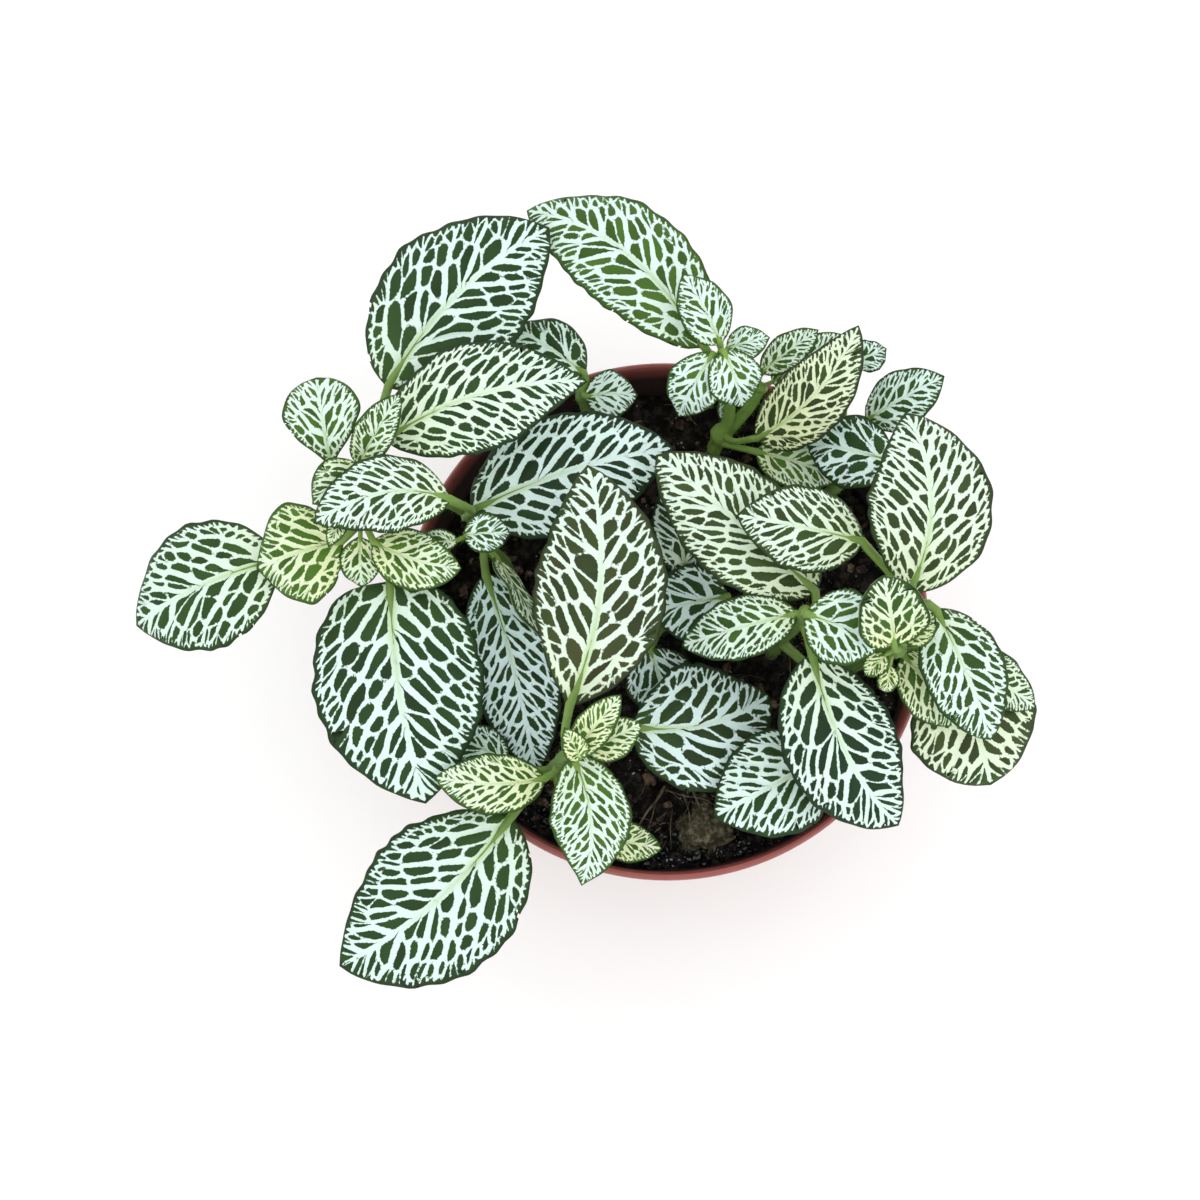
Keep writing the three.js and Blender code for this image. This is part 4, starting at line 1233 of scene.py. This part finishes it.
# Crumbs: how many, from what size to what size, from how far out to how far, and all round or only
# at the front
crumbKinds = {
    "soil_crumbs": {"look": "soil", "count": 1150, "size": (0.35, 1.7), "far": (0, 54), "front": False},
    "bark_chips": {"look": "bark", "count": 300, "size": (0.5, 1.9), "far": (8, 57), "front": False},
    "wet_clods": {"look": "wet", "count": 560, "size": (0.4, 1.4), "far": (47, 59), "front": True},
    # tiny pale grains all over, partly painted glints
    "pale_grains_painted_glints": {"look": "grainsAndGlints", "count": 420, "size": (0.1, 0.32), "far": (10, 58.5), "front": False},
    # pale specks at the front only: painted glints of wet soil
    "painted_glints": {"look": "grainsAndGlints", "count": 330, "size": (0.1, 0.4), "far": (51, 59.2), "front": True},
}


def makeCrumbs(name, kind, seed):   # a few crumbs are modelled and copied all over the soil
    chance = random.Random(seed)
    shapes = []
    for k in range(6):
        clearSelection()
        bpy.ops.mesh.primitive_ico_sphere_add(subdivisions=2 if kind["size"][1] > 0.5 else 1, radius=1.0)
        crumb = bpy.context.object
        for vertex in crumb.data.vertices:
            vertex.co *= 1 + 0.75 * noise.noise(vertex.co * 1.3 + Vector((3.1 * k, 0, 0)))
        corners = [vertex.co.copy() for vertex in crumb.data.vertices]
        shapes.append((corners, [tuple(p.vertices) for p in crumb.data.polygons]))
        bpy.data.objects.remove(crumb)
    points, faces = [], []
    nearest, farthest = kind["far"]
    smallest, largest = kind["size"]
    inner, high = soilForm["underStep"]
    while len(faces) < kind["count"] * len(shapes[0][1]):
        shape, shapeFaces = shapes[len(points) % 6]
        far = math.sqrt(chance.uniform(nearest ** 2, farthest ** 2))
        turn = chance.uniform(0, 2 * math.pi)
        x, y = far * math.cos(turn), far * math.sin(turn)
        size = smallest + (largest - smallest) * chance.random() ** 2.5
        edge = far + 1.5 * size
        if edge > soilForm["lipRadius"] or (edge > inner and groundAt(x, y) < high):
            continue
        if kind["front"] and y > -soilForm["front"] * far:
            continue
        stretch = Vector([size * chance.uniform(*span) for span in ((0.7, 1.5), (0.6, 1.1), (0.5, 0.9))])
        spin = Vector((0, 0, 1)).rotation_difference(Vector([chance.gauss(0, 1) for axis in range(3)]))
        at = Vector((x, y, groundAt(x, y) + 0.2 * size))
        first = len(points)
        points += [tuple((at + spin @ (p * stretch)) * mm) for p in shape]
        faces += [tuple(first + i for i in face) for face in shapeFaces]
    return meshObject(name, points, faces, kind["look"])


def makeLump():
    clearSelection()
    bpy.ops.mesh.primitive_ico_sphere_add(subdivisions=5, radius=1.0, location=(0, 0, 0))
    lump = named("root_ball_lump")
    inner, outer = soilForm["lumpReach"]
    low, high = soilForm["ledge"]
    for vertex in lump.data.vertices:
        p = vertex.co
        swell = 1 + 0.07 * (math.sin(5 * p.x + 2) + math.sin(6 * p.y + 3 * p.z))
        swell += 0.16 * noise.noise(p * 3) + 0.09 * noise.noise(p * 7) + 0.05 * noise.noise(p * 15)
        fan = 0.5 + 0.5 * clamped((0.75 - p.y) / 1.3)   # narrow at the back, wide at the front
        x, y, z = [at + value * size * swell for at, value, size
                   in zip(soilForm["lumpAt"], (p.x * fan, p.y, p.z), soilForm["lumpSize"])]
        over = clamped((z - low) / (high - low))
        inward = min(1.0, (inner + (outer - inner) * over) / math.hypot(x, y))
        vertex.co = Vector((x * inward, y * inward, z)) * mm
    return dress(lump, "lump")


fibreForm = {
    "count": 70, "radius": (0.06, 0.15), "steps": (6, 13), "step": 1.1, "reach": 52, "end": 56,
    "lumpAt": (8.5, -47), "lumpSpread": (6, 4),   # every third fibre lies by the lump
}

# Roots that lie loose about the lump: points and radius
looseRoots = [
    ([(-0.2, -39.5, 94), (-2.2, -43, 95.2), (-4.4, -45.6, 94.4), (-6.8, -49.6, 93.2)], 0.34),
    ([(-2.4, -43.2, 95), (-3.6, -48, 94.6), (-6, -53, 94)], 0.16),
    ([(1.6, -45, 94.6), (1.1, -49, 95), (1.3, -54.5, 93.8)], 0.13),
    ([(4.2, -41.5, 95), (5.4, -45.5, 96.4), (5.8, -51.5, 96.6)], 0.2),
    ([(6.6, -41, 95), (8.2, -45.5, 96.8), (9.6, -53, 96.4)], 0.22),
    ([(0, -40.5, 95), (4.5, -42, 96), (9, -42.8, 96.2), (13, -45, 95.4)], 0.14),
]


def makeFibres():
    chance = random.Random(77)
    runs = []
    for k in range(fibreForm["count"]):
        if k % 3 == 0:
            x, y = [at + chance.gauss(0, spread)
                    for at, spread in zip(fibreForm["lumpAt"], fibreForm["lumpSpread"])]
        else:
            far, turn = fibreForm["reach"] * math.sqrt(chance.random()), chance.uniform(0, 2 * math.pi)
            x, y = far * math.cos(turn), far * math.sin(turn)
        heading = chance.uniform(0, 2 * math.pi)
        thick = chance.uniform(*fibreForm["radius"])
        points = []
        for step in range(chance.randint(*fibreForm["steps"])):
            if math.hypot(x, y) > fibreForm["end"]:
                break
            z = soilTop(x, y) + roughness(x, y) + 0.3
            inLump = 1 - sum(((value - at) / size) ** 2 for value, at, size
                             in zip((x, y), soilForm["lumpAt"], soilForm["lumpSize"]))
            if inLump > 0:
                z = max(z, soilForm["lumpAt"][2] + soilForm["lumpSize"][2] * math.sqrt(inLump))
            points.append((x, y, z + 0.5 * math.sin(step * 1.3 + k)))
            heading += chance.gauss(0, 0.3)
            x += fibreForm["step"] * math.cos(heading)
            y += fibreForm["step"] * math.sin(heading)
        if len(points) > 3:
            fade = np.linspace(1, 0.4, len(points))
            runs.append((points, thick * fade))
    for points, radius in looseRoots:
        line, far = curvePoints(points, 26)
        runs.append((line, radius * np.linspace(1.1, 0.6, 26)))
    return tubes("root_fibres", runs, "fibre", 1)


soil = makeSoil()
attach(soil, "root")
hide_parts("soil")
crumbs = [makeCrumbs(name, kind, 41 + k) for k, (name, kind) in enumerate(crumbKinds.items())]
for piece in (makeBank(), *crumbs, makeLump(), makeFibres()):
    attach(piece, "root")
    print(piece.name, "made,", triangles(piece), "triangles")
print("soil made")


# Stage, light and camera

stageForm = {
    "floor": rgb(249, 253, 253), "paleFloor": rgb(250, 250, 250), "floorSize": 6, "worldStrength": 1.1,
    "eye": (-15.7, -91.66, 646.6), "target": (-15.7, 3.85, 105), "lens": 69.3,
    "lights": [("key", (-160, 120, 980), 1.3, 1.6), ("fill", (600, -500, 700), 0.9, 1.4)],   # size, power
}


def makeStage():
    clearSelection()
    bpy.ops.mesh.primitive_plane_add(size=stageForm["floorSize"], location=(0, 0, 0))
    floor = named("pale_floor")
    material, sock = newMaterial("pale_floor", {"Specular IOR Level": 0.1, "Roughness": 0.8})
    shade = sock.noise(40, 3).blend(stageForm["floor"], stageForm["paleFloor"])
    floor.data.materials.append(wire(material, shade))
    world = bpy.data.worlds.new("soft_daylight")
    bpy.context.scene.world = world
    world.use_nodes = True
    back = world.node_tree.nodes["Background"]
    back.inputs["Color"].default_value = (1, 1, 1, 1)
    back.inputs["Strength"].default_value = stageForm["worldStrength"]
    bpy.context.scene.view_settings.view_transform = "Standard"


def addLight(name, at, size, power):
    clearSelection()
    bpy.ops.object.light_add(type="AREA", location=[c * mm for c in at])
    light = named(name)
    light.data.shape = "DISK"
    light.data.size = size
    light.data.energy = power
    aim = Vector([c * mm for c in stageForm["target"]]) - light.location
    light.rotation_euler = aim.to_track_quat("-Z", "Y").to_euler()


makeStage()
for light in stageForm["lights"]:
    addLight(*light)
bpy.ops.object.camera_add(location=[c * mm for c in stageForm["eye"]])
camera = named("camera")
camera.data.lens = stageForm["lens"]
camera.data.sensor_width = 36
camera.data.clip_start = 0.01
look = (Vector(stageForm["target"]) - Vector(stageForm["eye"])).to_track_quat("-Z", "Y")
camera.rotation_euler = look.to_euler()
bpy.context.scene.camera = camera
print("stage, light and camera made")
